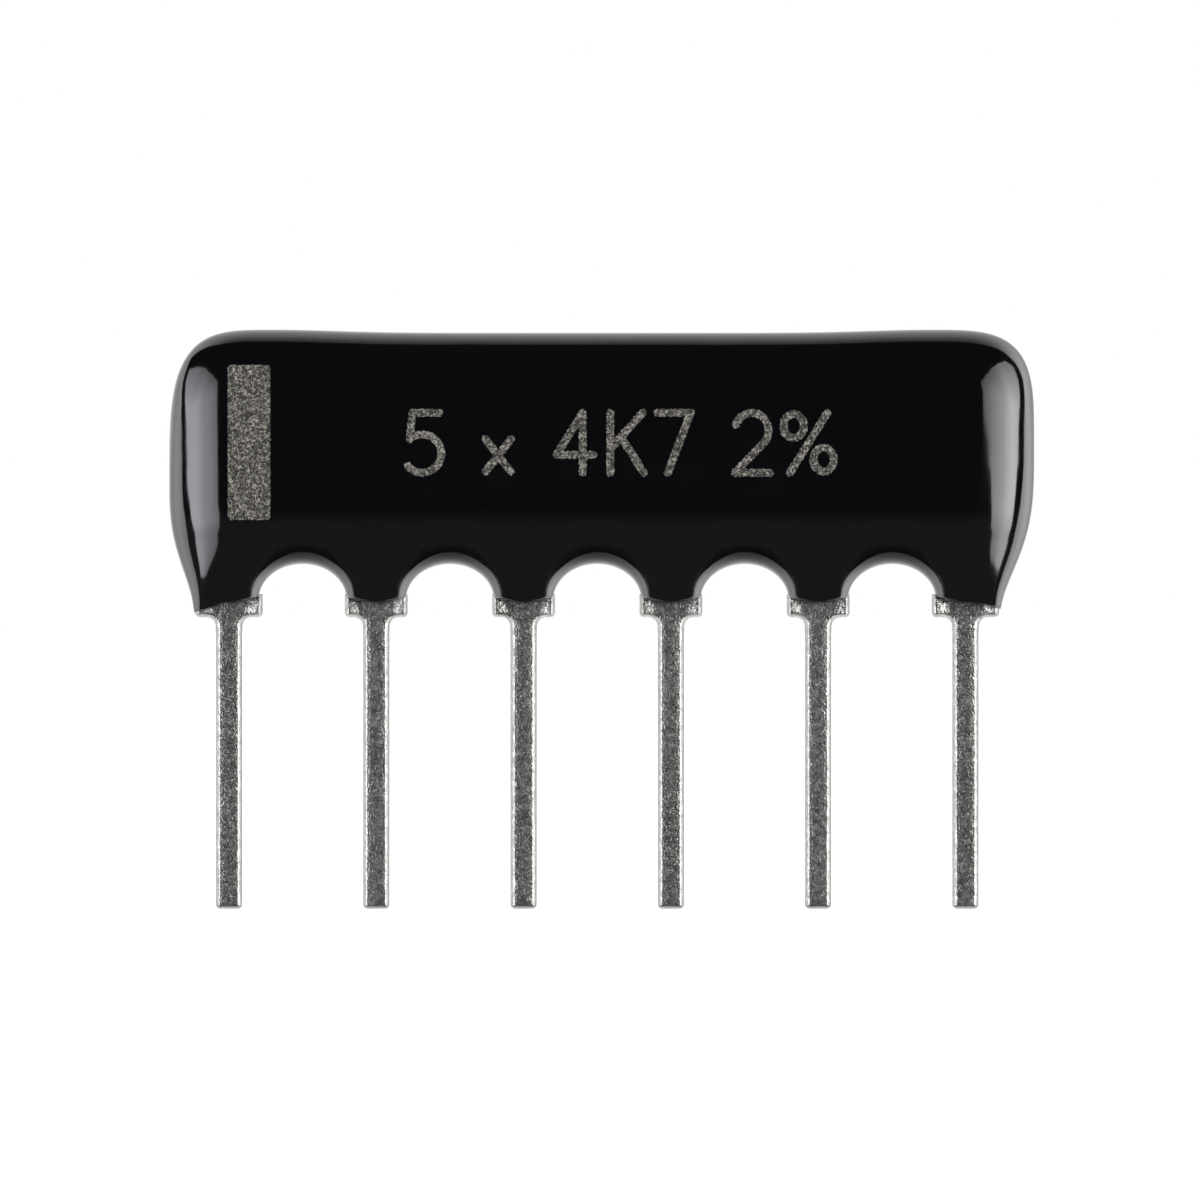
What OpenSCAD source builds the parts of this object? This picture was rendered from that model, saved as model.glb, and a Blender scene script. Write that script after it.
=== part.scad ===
// Dipped single-in-line resistor network: a ceramic plate with printed resistors that share one bus,
// clip pins soldered along its lower edge, and a black epoxy coat over everything but the blades.
// Millimetres. X runs along the pin row, -Y faces the marked side, Z is up.
// The origin is the middle of the pin row, on the seating plane under the pin shoulders.

/* [Pins] */
// Number of pins in the row
pin_count = 6; // [3:1:10]
// Distance from one pin to the next
pitch = 2.54; // [2.3:0.01:3]
// Width of the blade that goes through the board
blade_w = 0.44; // [0.35:0.01:0.6]
// Thickness of the sheet that the pins are stamped from
pin_t = 0.25; // [0.2:0.01:0.3]
// Length of the blade below the seating plane
blade_l = 5.03; // [2.5:0.01:8]
// Width of the shoulder on the inner pins
shoulder_w = 1.08; // [0.95:0.01:1.2]
// Width of the shoulder on the two end pins
end_shoulder_w = 1.16; // [1:0.01:1.25]
// Height of the shoulder, up to where its tines split
shoulder_h = 0.4; // [0.3:0.01:0.48]
// Radius of the inside corner between shoulder and blade
shoulder_fillet = 0.12; // [0.06:0.01:0.16]
// Radius of the outer corners of the shoulder, seen from the front
shoulder_corner = 0.08; // [0.07:0.01:0.12]
// Radius of the corners at the tip of the blade
tip_corner = 0.08; // [0.07:0.01:0.15]
// Radius that stamping and plating leave on the edges of the sheet
sheet_edge = 0.065; // [0.03:0.005:0.07]
// Width of the middle tine of a clip
middle_tine_w = 0.36; // [0.25:0.01:0.45]
// Slot between the middle tine and an outer one
tine_slot = 0.08; // [0.05:0.01:0.12]
// How far the outer tines stand in from the sides of an inner pin's shoulder
tine_set_in = 0.06; // [0.03:0.01:0.1]
// Length of a tine along the ceramic
tine_grip = 0.8; // [0.5:0.01:0.9]
// Length of the flared lead-in at the end of a tine
tine_lip = 0.16; // [0.08:0.01:0.2]
// Angle of the flared lead-in
lip_angle = 18; // [8:1:30]

/* [Substrate] */
// Thickness of the ceramic plate
ceramic_t = 0.635; // [0.5:0.005:0.8]
// Height of the ceramic plate
ceramic_h = 3.34; // [3.2:0.01:4.2]
// Length of the plate past the centre of an end pin, unless its prints need more
ceramic_end = 0.635; // [0.6:0.005:0.9]
// Height of the plate's lower edge over the seating plane
ceramic_standoff = 1.11; // [1:0.01:1.3]

/* [Printed circuit] */
// Thickness of the fired conductor
conductor_t = 0.015; // [0.01:0.001:0.02]
// Thickness of the fired resistor paste
resistor_t = 0.02; // [0.015:0.001:0.03]
// Glass over the thickest part of the resistors
glaze_cover = 0.015; // [0.01:0.001:0.03]
// Width of a solder pad, which is wider than the clip
pad_w = 1.26; // [1.22:0.01:1.6]
// Height of a solder pad
pad_h = 1.25; // [1.2:0.01:1.4]
// Bare ceramic between the plate's lower edge and a pad
pad_margin = 0.06; // [0.03:0.01:0.1]
// Width of the bus along the top of the plate
bus_w = 0.45; // [0.3:0.01:0.6]
// Bare ceramic between the bus and the plate's top edge
bus_margin = 0.2; // [0.1:0.01:0.3]
// Width of the track that joins the first pad to the bus
riser_w = 0.7; // [0.4:0.01:1]
// Width of a resistor
resistor_w = 1; // [0.8:0.01:1.2]
// Overlap of a resistor on its pad and on the bus
resistor_lap = 0.12; // [0.08:0.01:0.2]
// Width of the laser trim cut
kerf_w = 0.05; // [0.03:0.01:0.08]
// Length of the trim cut across a resistor
kerf_in = 0.55; // [0.2:0.01:0.7]
// Length of the trim cut along a resistor
kerf_up = 0.4; // [0.2:0.01:0.5]
// Glass past the outermost resistors
glaze_margin = 0.12; // [0.06:0.01:0.25]

/* [Solder] */
// Solder beside the outer tines
solder_side = 0.07; // [0.04:0.01:0.08]
// Height of the solder over its pad
solder_t = 0.17; // [0.1:0.01:0.2]

/* [Coat] */
// Epoxy over the faces of the outer tines
cover_face = 0.47; // [0.3:0.01:0.8]
// Epoxy over the top edge of the plate, half way along it
cover_top = 0.455; // [0.4:0.005:0.7]
// Extra epoxy that gathers over the two top corners
cover_crest = 0.055; // [0:0.005:0.1]
// Epoxy past the plate at the first pin's end
cover_first_end = 0.395; // [0.35:0.005:0.7]
// Epoxy past the plate at the last pin's end
cover_last_end = 0.55; // [0.35:0.005:0.7]
// Epoxy under the plate at the crown of an arch
cover_arch = 0.195; // [0.15:0.005:0.4]
// How far the widest part of an arch lies under the foot of its sides
arch_sink = 0.06; // [0:0.005:0.1]
// Height of the coat's lower edge on the middle of a shoulder
leg_z = 0.235; // [0.15:0.005:0.28]
// Rise of that edge from the middle of a shoulder to its sides
leg_rise = 0.12; // [0.05:0.005:0.16]
// Shoulder left bare at each side of a leg's foot
leg_bare = 0.025; // [0.01:0.005:0.05]
// How far the coat runs lower on the outside of the end pins
leg_drop = 0.1; // [0:0.005:0.12]
// Coat past the centre of an end pin, at the seating plane
end_leg = 0.61; // [0.55:0.01:0.7]
// Height at which the first pin's end is widest
first_belly_z = 2.3; // [2:0.05:3.2]
// Height at which the last pin's end is widest
last_belly_z = 3; // [2:0.05:3.2]
// Length of the rounded top corners along the row
corner_l = 1.8; // [1.2:0.05:2.1]
// Radius of the coat's top edge
top_r = 1; // [0.7:0.01:1.2]
// Radius of the coat's two ends
end_r = 1.1; // [0.7:0.01:1.3]
// Radius of the coat's edge round an arch
arch_edge_r = 0.75; // [0.5:0.01:0.9]
// Radius of the rolled lip at the foot of a leg
lip_r = 0.12; // [0.06:0.01:0.2]
// Height over which a leg thickens to the full coat
leg_l = 1.65; // [1:0.05:1.8]

/* [Hidden] */
// Power of the rounded top corners: 2 is an ellipse, more is squarer
corner_power = 3.7;
// Power of the first end's taper from its belly down to its leg
first_taper = 1.5;
// Power of the last end's taper, where more keeps the end wide for longer
last_taper = 1.9;
// Height at which the taper has come in to the leg
taper_foot = 0.12;
// Share of the arch's edge radius that is left at the foot of a leg
foot_edge_share = 0.35;
// Thickness of a leg at its foot, as a share of the full coat
foot_share = 0.42;
// Reach of the gathered corner epoxy along the top edge
crest_reach = 1.5;
// Roundness of the outer lower corner of an end leg
heel_round = 0.08;

// Facets of the coat: columns at an end, over an arch and on half a leg, and rows over and under the belly
end_columns = 14;
arch_columns = 10;
leg_columns = 3;
top_rows = 7;
foot_rows = 8;
// Facets of a pin: steps round a corner, through the sheet's edge and along a tine
corner_steps = 3;
edge_steps = 2;
tine_steps = 6;

resistor_count = pin_count - 1;
row_half = (pin_count - 1) * pitch / 2;
ceramic_half = row_half + max(ceramic_end, pad_w / 2, resistor_w / 2 + glaze_margin);
tine_reach = shoulder_w / 2 - tine_set_in;
ceramic_top = ceramic_standoff + ceramic_h;
ceramic_face = ceramic_t / 2;
pad_face = ceramic_face + conductor_t;
glaze_face = pad_face + resistor_t + glaze_cover;
pad_z = ceramic_standoff + pad_margin;
pad_top = pad_z + pad_h;
bus_top = ceramic_top - bus_margin;
bus_z = bus_top - bus_w;
resistor_z = pad_top - resistor_lap;
resistor_top = bus_z + resistor_lap;
tine_top = ceramic_standoff + tine_grip;
solder_top = tine_top + tine_lip;
coat_half_t = pad_face + pin_t + cover_face;
crest_z = ceramic_top + cover_top + cover_crest;
jog_h = ceramic_standoff - shoulder_h;
leg_half = shoulder_w / 2 - leg_bare;
arch_half = pitch / 2 - leg_half;
arch_z = leg_z + leg_rise - arch_sink;
arch_h = ceramic_standoff - cover_arch - arch_z;
arch_w = arch_half / sqrt(1 - (arch_sink / arch_h) ^ 2);

function pin_x(i) = (i - 1) * pitch - row_half;
function is_end_pin(i) = i == 1 || i == pin_count;
function shoulder_of(i) = is_end_pin(i) ? end_shoulder_w : shoulder_w;
function part_name(kind, i) = str(kind, "_", i);

function arc(centre, r, from, to, steps) =
    [for (k = [0:steps]) let (a = from + (to - from) * k / steps) centre + r * [cos(a), sin(a)]];
function mirrored(points) = [for (k = [len(points) - 1:-1:0]) [-points[k][0], points[k][1]]];
function ease(t) = let (u = min(max(t, 0), 1)) u * u * (3 - 2 * u);

// Skin over closed rings of points, each one mirrored about its middle. The first and the last ring are
// closed by convex bands, which run from one point to another on the left half and back on the right.
module banded_skin(rings, bands) {
    n = len(rings[0]);
    last = len(rings) - 1;
    walls = [
        for (r = [0:last - 1], k = [0:n - 1], half = [0, 1])
            let (a = r * n + k, b = r * n + (k + 1) % n)
            half == 0 ? [a, b, b + n] : [a, b + n, a + n]
    ];
    cap = [
        for (band = bands)
            concat([for (k = [band[0]:band[1]]) k], [for (k = [band[1]:-1:band[0]]) n - 1 - k])
    ];
    first_cap = [for (face = cap) [for (k = [len(face) - 1:-1:0]) face[k]]];
    last_cap = [for (face = cap) [for (k = face) last * n + k]];
    polyhedron([for (ring = rings) each ring], concat(walls, first_cap, last_cap));
}

// Skin over closed rings of points that closes to a single point at each end
module pointed_skin(rings, first, final) {
    n = len(rings[0]);
    last = len(rings) - 1;
    tip = n * len(rings);
    walls = [
        for (r = [0:last - 1], k = [0:n - 1], half = [0, 1])
            let (a = r * n + k, b = r * n + (k + 1) % n)
            half == 0 ? [a, b, b + n] : [a, b + n, a + n]
    ];
    fans = [
        for (k = [0:n - 1])
            each [[tip, (k + 1) % n, k], [tip + 1, last * n + k, last * n + (k + 1) % n]]
    ];
    polyhedron(concat([for (ring = rings) each ring], [first, final]), concat(walls, fans));
}

// Pins

// Front outline of the blade and shoulder, drawn in from its edge by inset
function pin_outline(shoulder, inset) =
    let (
        corner = arc([-shoulder / 2 + shoulder_corner, shoulder_corner], shoulder_corner - inset,
            180, 270, corner_steps),
        fillet = arc([-blade_w / 2 - shoulder_fillet, -shoulder_fillet], shoulder_fillet + inset,
            90, 0, corner_steps),
        tip = arc([-blade_w / 2 + tip_corner, tip_corner - blade_l], tip_corner - inset,
            180, 270, corner_steps),
        left = concat([[-shoulder / 2 + inset, shoulder_h]], corner, fillet, tip)
    )
    concat(left, mirrored(left));

module stamped_sheet(shoulder) {
    levels = concat(
        [for (k = [0:edge_steps]) [k / edge_steps * 90, -1]],
        [for (k = [edge_steps:-1:0]) [k / edge_steps * 90, 1]]
    );
    rings = [
        for (level = levels)
            let (
                inset = sheet_edge * (1 - sin(level[0])),
                y = level[1] * (pin_t / 2 - sheet_edge * (1 - cos(level[0])))
            )
            [for (p = pin_outline(shoulder, inset)) [p[0], y, p[1]]]
    ];
    fillet_start = corner_steps + 2;
    blade_start = 2 * corner_steps + 2;
    tip_end = 3 * corner_steps + 3;
    fillet_bands = [for (k = [fillet_start:blade_start - 1]) [k, k + 1]];
    banded_skin(rings, concat([[0, fillet_start]], fillet_bands, [[blade_start, tip_end]]));
}

// A tine jogs in an S from the shoulder to a face of the plate, and its end flares off that face.
// Each station is the middle of the sheet, as y, z and the turn of the sheet from upright.
function tine_stations(face) =
    let (out = face + pin_t / 2)
    concat(
        [
            for (k = [0:tine_steps])
                let (t = k / tine_steps)
                [out * ease(t), shoulder_h + jog_h * t, atan(out * 6 * t * (1 - t) / jog_h)]
        ],
        [[out, tine_top, lip_angle / 2], [out + tine_lip * tan(lip_angle), solder_top, lip_angle]]
    );

// Side is -1 for a tine on the front of the plate and 1 for one on the back
module tine(width, face, side) {
    bend_stretch = 1 / cos(lip_angle / 2);
    edge = function (sign) [
        for (s = tine_stations(face))
            let (half = sign * pin_t / 2 * (s[1] == tine_top ? bend_stretch : 1))
            [side * (s[0] + half * cos(s[2])), s[1] - half * sin(s[2])]
    ];
    outer = edge(1);
    inner = edge(-1);
    translate([-width / 2, 0, 0])
        rotate([90, 0, 90])
            linear_extrude(width)
                polygon(concat(outer, [for (k = [len(inner) - 1:-1:0]) inner[k]]));
}

module front_tines(i) {
    tine_w = tine_reach - middle_tine_w / 2 - tine_slot;
    for (side = [-1, 1])
        translate([pin_x(i) + side * (tine_reach - tine_w / 2), 0, 0])
            tine(tine_w, pad_face, -1);
}

module clip_pin(i) {
    translate([pin_x(i), 0, 0]) {
        stamped_sheet(shoulder_of(i));
        tine(middle_tine_w, ceramic_face, 1);
    }
    front_tines(i);
}

module pin(i) color("silver") clip_pin(i);

// Ceramic plate and its printed circuit

module ceramic_plate()
    color("ivory")
        translate([-ceramic_half, -ceramic_face, ceramic_standoff])
            cube([2 * ceramic_half, ceramic_t, ceramic_h]);

// A printed layer on the front of the plate, from one height over the ceramic to another
module print(x, z, w, h, from, to)
    translate([x, -ceramic_face - to, z])
        cube([w, to - from, h]);

module pad_print(i) print(pin_x(i) - pad_w / 2, pad_z, pad_w, pad_h, 0, conductor_t);

module solder_pad(i) color("lightgray") pad_print(i);

module bus_print() {
    pad_print(1);
    print(pin_x(1) - riser_w / 2, pad_z, riser_w, bus_top - pad_z, 0, conductor_t);
    print(pin_x(1) - riser_w / 2, bus_z,
        pin_x(pin_count) + resistor_w / 2 - pin_x(1) + riser_w / 2, bus_w, 0, conductor_t);
}

module bus_track() color("lightgray") bus_print();

module resistor_print(k) {
    x = pin_x(k + 1) - resistor_w / 2;
    full_t = conductor_t + resistor_t;
    difference() {
        union() {
            print(x, pad_top, resistor_w, bus_z - pad_top, 0, full_t);
            for (z = [resistor_z, bus_z])
                print(x, z, resistor_w, resistor_lap, conductor_t, full_t);
        }
        trim_cut(x, (pad_top + bus_z) / 2, full_t);
    }
}

// The trim cut enters from the side of a resistor, then turns up along it
module trim_cut(x, z, depth) {
    print(x, z, kerf_in, kerf_w, 0, depth);
    print(x + kerf_in - kerf_w, z, kerf_w, kerf_up, 0, depth);
}

module resistor(k) color("dimgray") resistor_print(k);

module glass_print() {
    x = pin_x(2) - resistor_w / 2 - glaze_margin;
    x_end = pin_x(pin_count) + resistor_w / 2 + glaze_margin;
    print(x, resistor_z, x_end - x, bus_top - resistor_z, 0, glaze_face - ceramic_face);
}

module glass_overcoat()
    color("darkseagreen")
        difference() {
            glass_print();
            bus_print();
            for (i = [2:pin_count]) {
                pad_print(i);
                resistor_print(i - 1);
            }
        }

// Solder round the two outer tines of a clip: a mound on the pad that the tines stand in

module solder_mound(i) {
    half_w = tine_reach + solder_side;
    top_y = -pad_face - solder_t;
    translate([pin_x(i), 0, 0])
        intersection() {
            translate([-half_w, 0, 0])
                rotate([90, 0, 90])
                    linear_extrude(2 * half_w)
                        polygon([
                            [-pad_face, pad_z],
                            [-pad_face, solder_top],
                            [top_y, solder_top - solder_side],
                            [top_y, pad_z + solder_side]
                        ]);
            translate([0, 0, pad_z])
                linear_extrude(solder_top - pad_z)
                    polygon([
                        [-half_w, -pad_face],
                        [half_w, -pad_face],
                        [half_w - solder_side, top_y],
                        [solder_side - half_w, top_y]
                    ]);
        }
}

module solder_joint(i)
    color("gainsboro")
        difference() {
            solder_mound(i);
            front_tines(i);
        }

// Epoxy coat

function rounded(d, r) = d <= 0 ? 0 : d >= r ? 1 : sqrt(1 - (1 - d / r) ^ 2);
function end_reach(side) = ceramic_half + (side < 0 ? cover_first_end : cover_last_end);
function end_belly(side) = side < 0 ? first_belly_z : last_belly_z;
function end_taper(side) = end_reach(side) - row_half - end_leg;
function taper_power(side) = side < 0 ? first_taper : last_taper;
function end_inset(z, side) =
    let (down = (end_belly(side) - z) / (end_belly(side) - taper_foot))
    end_taper(side) * ease(min(max(down, 0), 1) ^ taper_power(side));
function end_gap(x, z, side) = end_reach(side) - end_inset(z, side) - side * x;

// Top edge: a flat run between two crests, and a squarish rounded corner past each crest
function coat_top(x) =
    let (
        side = x < 0 ? -1 : 1,
        past = abs(x) - end_reach(side) + corner_l
    )
    past > 0
        ? end_belly(side) + (crest_z - end_belly(side))
            * (1 - min(past / corner_l, 1) ^ corner_power) ^ (1 / corner_power)
        : crest_z - cover_crest * (1 - exp(-(past / crest_reach) ^ 2));

// Lower edge: a leg on every pin, an arch between two pins, and a taper up each end
function nearest_pin(x) = min(max(round((x + row_half) / pitch) + 1, 1), pin_count);
function past_end(x) = max(abs(x) - row_half, 0);
function leg_foot(x) =
    let (i = nearest_pin(x), dx = x - pin_x(i), out = past_end(x))
    out > 0
        ? leg_z - leg_drop * ease(out / end_leg)
        : leg_z + leg_rise * (dx / leg_half) ^ 2;
function unease(share) = 0.5 - sin(asin(1 - 2 * share) / 3);
function end_rise(x) =
    let (
        side = x < 0 ? -1 : 1,
        share = min(max(end_reach(side) - abs(x), 0) / end_taper(side), 1)
    )
    end_belly(side) - (end_belly(side) - taper_foot) * unease(share) ^ (1 / taper_power(side));
function soft_max(a, b, k) = (a + b + sqrt((a - b) ^ 2 + k ^ 2)) / 2;
function arch_offset(x) =
    let (slot = min(max(floor((x + row_half) / pitch), 0), pin_count - 2))
    x - pin_x(slot + 1) - pitch / 2;
function coat_foot(x) =
    past_end(x) > 0 ? soft_max(leg_foot(x), end_rise(x), heel_round * past_end(x))
    : abs(arch_offset(x)) < arch_half ? arch_z + arch_h * sqrt(1 - (arch_offset(x) / arch_w) ^ 2)
    : leg_foot(x);

// How much of the lip's rounding a leg has: all of it on its middle, none where the arch's own edge begins
function lip_share(x) =
    past_end(x) > 0 ? 1
    : 1 - min(abs(x - pin_x(nearest_pin(x))) / leg_half, 1) ^ 2;

// Distance from the arch after pin k, an ellipse on upright sides, to first order
function arch_gap(x, z, k) =
    let (
        dx = x - pin_x(k) - pitch / 2,
        dz = max(z - arch_z, 0),
        f = norm([dx / arch_w, dz / arch_h])
    )
    f < 1 ? 0 : f * (f - 1) / norm([dx / arch_w ^ 2, dz / arch_h ^ 2]);
function edge_radius(z) =
    arch_edge_r * (foot_edge_share + (1 - foot_edge_share) * ease((z - leg_z) / arch_h));
function arch_edges(x, z, k = 1) =
    k >= pin_count ? 1 : rounded(arch_gap(x, z, k), edge_radius(z)) * arch_edges(x, z, k + 1);
function half_coat(x, z) =
    let (
        lip = rounded(z - coat_foot(x), lip_r),
        leg = foot_share + (1 - foot_share) * sin(90 * min(max(z - leg_z, 0) / leg_l, 1))
    )
    coat_half_t * leg * (1 - lip_share(x) * (1 - lip))
    * rounded(coat_top(x) - z, top_r)
    * rounded(end_gap(x, z, -1), end_r)
    * rounded(end_gap(x, z, 1), end_r)
    * arch_edges(x, z);

function coat_columns() = concat(
    [for (k = [1:end_columns]) -row_half - (end_reach(-1) - row_half) * cos(90 * k / end_columns)],
    [
        for (i = [1:pin_count - 1])
            each concat(
                [for (k = [1:leg_columns]) pin_x(i) + leg_half * k / leg_columns],
                [for (k = [1:arch_columns - 1])
                    pin_x(i) + pitch / 2 - arch_half * cos(180 * k / arch_columns)],
                [for (k = [leg_columns:-1:0]) pin_x(i + 1) - leg_half * k / leg_columns]
            )
    ],
    [for (k = [end_columns - 1:-1:1]) row_half + (end_reach(1) - row_half) * cos(90 * k / end_columns)]
);

// One ring of the coat at x: up the front face from the foot to the top, and down the back.
// The rows crowd towards the foot and the top, and meet at the height of the belly.
function belly_line(x) =
    first_belly_z + (last_belly_z - first_belly_z) * (x + end_reach(-1)) / (end_reach(-1) + end_reach(1));
function coat_ring(x) =
    let (
        foot = coat_foot(x),
        top = coat_top(x),
        middle = belly_line(x),
        heights = concat(
            [for (k = [1:foot_rows]) foot + (middle - foot) * (1 - cos(90 * k / foot_rows))],
            [for (k = [top_rows - 1:-1:1]) top - (top - middle) * (1 - cos(90 * k / top_rows))]
        ),
        last = len(heights) - 1
    )
    concat(
        [[x, 0, foot]],
        [for (z = heights) [x, -half_coat(x, z), z]],
        [[x, 0, top]],
        [for (k = [last:-1:0]) [x, half_coat(x, heights[k]), heights[k]]]
    );

module coat_skin()
    pointed_skin([for (x = coat_columns()) coat_ring(x)],
        [-end_reach(-1), 0, end_belly(-1)], [end_reach(1), 0, end_belly(1)]);

module coat()
    color([0.04, 0.04, 0.045])
        difference() {
            coat_skin();
            ceramic_plate();
            bus_print();
            glass_print();
            for (i = [2:pin_count]) pad_print(i);
            for (i = [1:pin_count]) solder_mound(i);
            for (i = [1:pin_count]) clip_pin(i);
        }

coat();
ceramic_plate();
bus_track();
glass_overcoat();
for (i = [1:pin_count]) {
    pin(i);
    solder_joint(i);
}
for (i = [2:pin_count])
    solder_pad(i);
for (k = [1:resistor_count])
    resistor(k);
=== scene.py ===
"""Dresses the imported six-pin resistor network: coat, pins, laser marks, inner circuit and stage."""

import math

import bmesh
import bpy
import numpy as np
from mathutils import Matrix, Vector


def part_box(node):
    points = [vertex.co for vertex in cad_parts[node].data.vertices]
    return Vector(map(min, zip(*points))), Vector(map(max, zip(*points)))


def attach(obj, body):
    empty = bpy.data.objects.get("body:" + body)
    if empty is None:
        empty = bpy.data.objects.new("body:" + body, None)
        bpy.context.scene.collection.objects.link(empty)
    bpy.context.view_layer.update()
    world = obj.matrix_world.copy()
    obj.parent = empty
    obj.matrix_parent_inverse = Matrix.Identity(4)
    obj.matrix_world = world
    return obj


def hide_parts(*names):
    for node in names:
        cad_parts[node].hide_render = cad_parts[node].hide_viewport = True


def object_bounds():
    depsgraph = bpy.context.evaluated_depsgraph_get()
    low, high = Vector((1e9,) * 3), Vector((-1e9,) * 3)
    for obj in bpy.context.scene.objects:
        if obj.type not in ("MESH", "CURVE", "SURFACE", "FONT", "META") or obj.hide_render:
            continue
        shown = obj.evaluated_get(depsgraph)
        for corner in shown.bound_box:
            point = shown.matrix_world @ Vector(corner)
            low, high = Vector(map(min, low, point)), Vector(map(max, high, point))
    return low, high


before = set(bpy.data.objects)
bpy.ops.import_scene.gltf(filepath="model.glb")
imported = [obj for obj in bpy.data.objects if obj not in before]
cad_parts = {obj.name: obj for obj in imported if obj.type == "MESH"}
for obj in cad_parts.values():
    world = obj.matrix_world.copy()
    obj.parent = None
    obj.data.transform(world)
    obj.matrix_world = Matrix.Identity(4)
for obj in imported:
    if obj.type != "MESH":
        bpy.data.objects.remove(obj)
CAD_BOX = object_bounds()

bl_info = {
    "name": "Resistor Network",
    "version": (1, 0, 0),
    "blender": (4, 5, 0),
    "location": "View3D > Sidebar > Resistor Network",
    "description": "Builds the looks of a dipped six-pin resistor network on its CAD frame",
    "category": "Object",
}

# Sizes are worked out in millimetres and meshes are made in metres
MM = 0.001
BODY = "root"
PIN_NAMES = [f"pin_{number}" for number in range(1, 7)]
COAT_LOW, COAT_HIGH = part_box("coat")
FIRST_LOW, FIRST_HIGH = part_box("pin_1")
SECOND_LOW, SECOND_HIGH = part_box("pin_2")
LAST_LOW, LAST_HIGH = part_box("pin_6")
FIRST_X = (FIRST_LOW.x + FIRST_HIGH.x) / 2
SECOND_X = (SECOND_LOW.x + SECOND_HIGH.x) / 2
LAST_X = (LAST_LOW.x + LAST_HIGH.x) / 2

# Ends and top edge of the coat
FIRST_BELLY = 2.3
LAST_BELLY = 3.0
CORNER_LENGTH = 1.8
CORNER_POWER = 3.7
CREST_DROP = 0.055
CREST_REACH = 1.5
FIRST_TAPER = 1.5
LAST_TAPER = 1.9
TAPER_FOOT = 0.07
END_LEG = 0.61
HEEL_ROUND = 0.08

# Legs and arches of the coat
LEG_HALF = 0.515
LEG_Z = 0.235
LEG_RISE = 0.12
FIRST_DROP = 0.2
LAST_DROP = 0.1
LEG_LENGTH = 1.65
FOOT_SHARE = 0.42
ARCH_Z = 0.295
ARCH_HEIGHT = 0.62
ARCH_SINK = 0.06
FOOT_EDGE_SHARE = 0.35
FOOT_EDGE_Z = 0.35
FOOT_EDGE_RISE = 0.8
END_FOOT_SHARE = 0.3
END_FOOT_RISE = 1.2
BULGE_Z = 2.7
BULGE_REACH = 2.0

# Waves of the coat's skin: turn per millimetre along and up, start, and share of the height
WAVES = [(1.7, 0.6, 0.4, 1.0), (0.9, -1.9, 1.7, 1.0), (3.1, 2.3, 2.9, 0.6)]

# Fineness of the coat's mesh
END_COLUMNS = 72
ARCH_COLUMNS = 40
LEG_COLUMNS = 22
FOOT_ROWS = 48
TOP_ROWS = 40
MERGE_DISTANCE = 2e-7
TINY = 1e-12

# Clip pins, where the box of a pin doesn't give the size
BLADE_WIDTH = 0.456
SHEET = 0.25
SHOULDER_FILLET = 0.16
SHOULDER_CORNER = 0.08
TIP_CORNER = 0.08
MIDDLE_TINE = 0.36
TINE_SLOT = 0.08
TINE_INSET = 0.05
TINE_REACH = 0.48
SLOT_Z = 0.4
PLATE_Z = 1.11
TINE_TOP = 1.91
TINE_END = 2.07
FLARE = math.tan(math.radians(18))
PAD_FACE = 0.3325
PLATE_FACE = 0.3175
FACE_FLAT = 0.05
BACK_EDGE = 0.02
FOLD_X = 0.24
FOLD_SLANT = 0.33
ROLL_X = 0.03
BEND_SOFT = 0.04
TIP_CUT = 0.055
TIP_FADE = 0.02

# Fineness of the pins' mesh, with the cuts that let the sheet bend
CORNER_STEPS = 8
EDGE_STEPS = 4
CROWN_STEPS = 4
BACK_STEPS = 3
HOLD = 0.002
CUT_LOW = -0.13
CUT_RISE = 0.03
CUT_SIDE = 0.55
CUT_ACROSS = 0.05
LEAN_STEP = 0.002

# Strokes of the value mark, on a letter 1 high, with arcs as (centre, radii, start and end in degrees)
LETTERS = {
    "5": (0.6, [[(0.56, 1.0), (0.12, 1.0), (0.07, 0.56)], [(0.28, 0.32), (0.32, 0.32), 130, -140]]),
    "x": (0.5, [[(0.04, 0.02), (0.46, 0.56)], [(0.04, 0.56), (0.46, 0.02)]]),
    "4": (0.66, [[(0.46, 0.0), (0.46, 1.0), (0.02, 0.3), (0.64, 0.3)]]),
    "K": (0.62, [[(0.06, 0.0), (0.06, 1.0)], [(0.6, 1.0), (0.06, 0.4)], [(0.24, 0.6), (0.62, 0.0)]]),
    "7": (0.6, [[(0.02, 1.0), (0.58, 1.0), (0.2, 0.0)]]),
    "2": (0.6, [[(0.3, 0.7), (0.28, 0.3), 160, -35], [(0.52, 0.52), (0.02, 0.0), (0.6, 0.0)]]),
    "%": (
        0.9,
        [
            [(0.14, 0.0), (0.76, 1.0)],
            [(0.2, 0.78), (0.17, 0.2), 0, 360],
            [(0.7, 0.22), (0.17, 0.2), 0, 360],
        ],
    ),
    " ": (0.3, []),
}
LETTER_GAP = 0.2
ARC_STEP = 10
MARK_CELL = 0.022
MARK_REACH = 5.0

# Scallops that the beam's spots leave: turn per millimetre along and up, and start
SCALLOPS = [(83, 31, 0.0), (-41, 97, 0.0), (61, 53, 1.3)]
SCALLOP_DEPTH = 0.014

# Studio round the part, in metres and degrees
TENT_RADIUS = 0.8
TENT_STEPS = 48
REAR_STEPS = 24
TENT_SIDES = 180
POLE_GAP = 0.001
CARD_DISTANCE = 0.45
CARD_CELL = 1.5
LAMPS = [("first_lamp", -54), ("last_lamp", 53.5)]
LAMP_WIDTH = 0.3
LAMP_HEIGHT = 0.4
LAMP_RISE = 0.2
FLOOR_HALF = 3.0
FLOOR_GLOW = 0.85
CAMERA_DISTANCE = 0.35
CLIP_START = 0.01
SENSOR_WIDTH = 36.0

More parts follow.
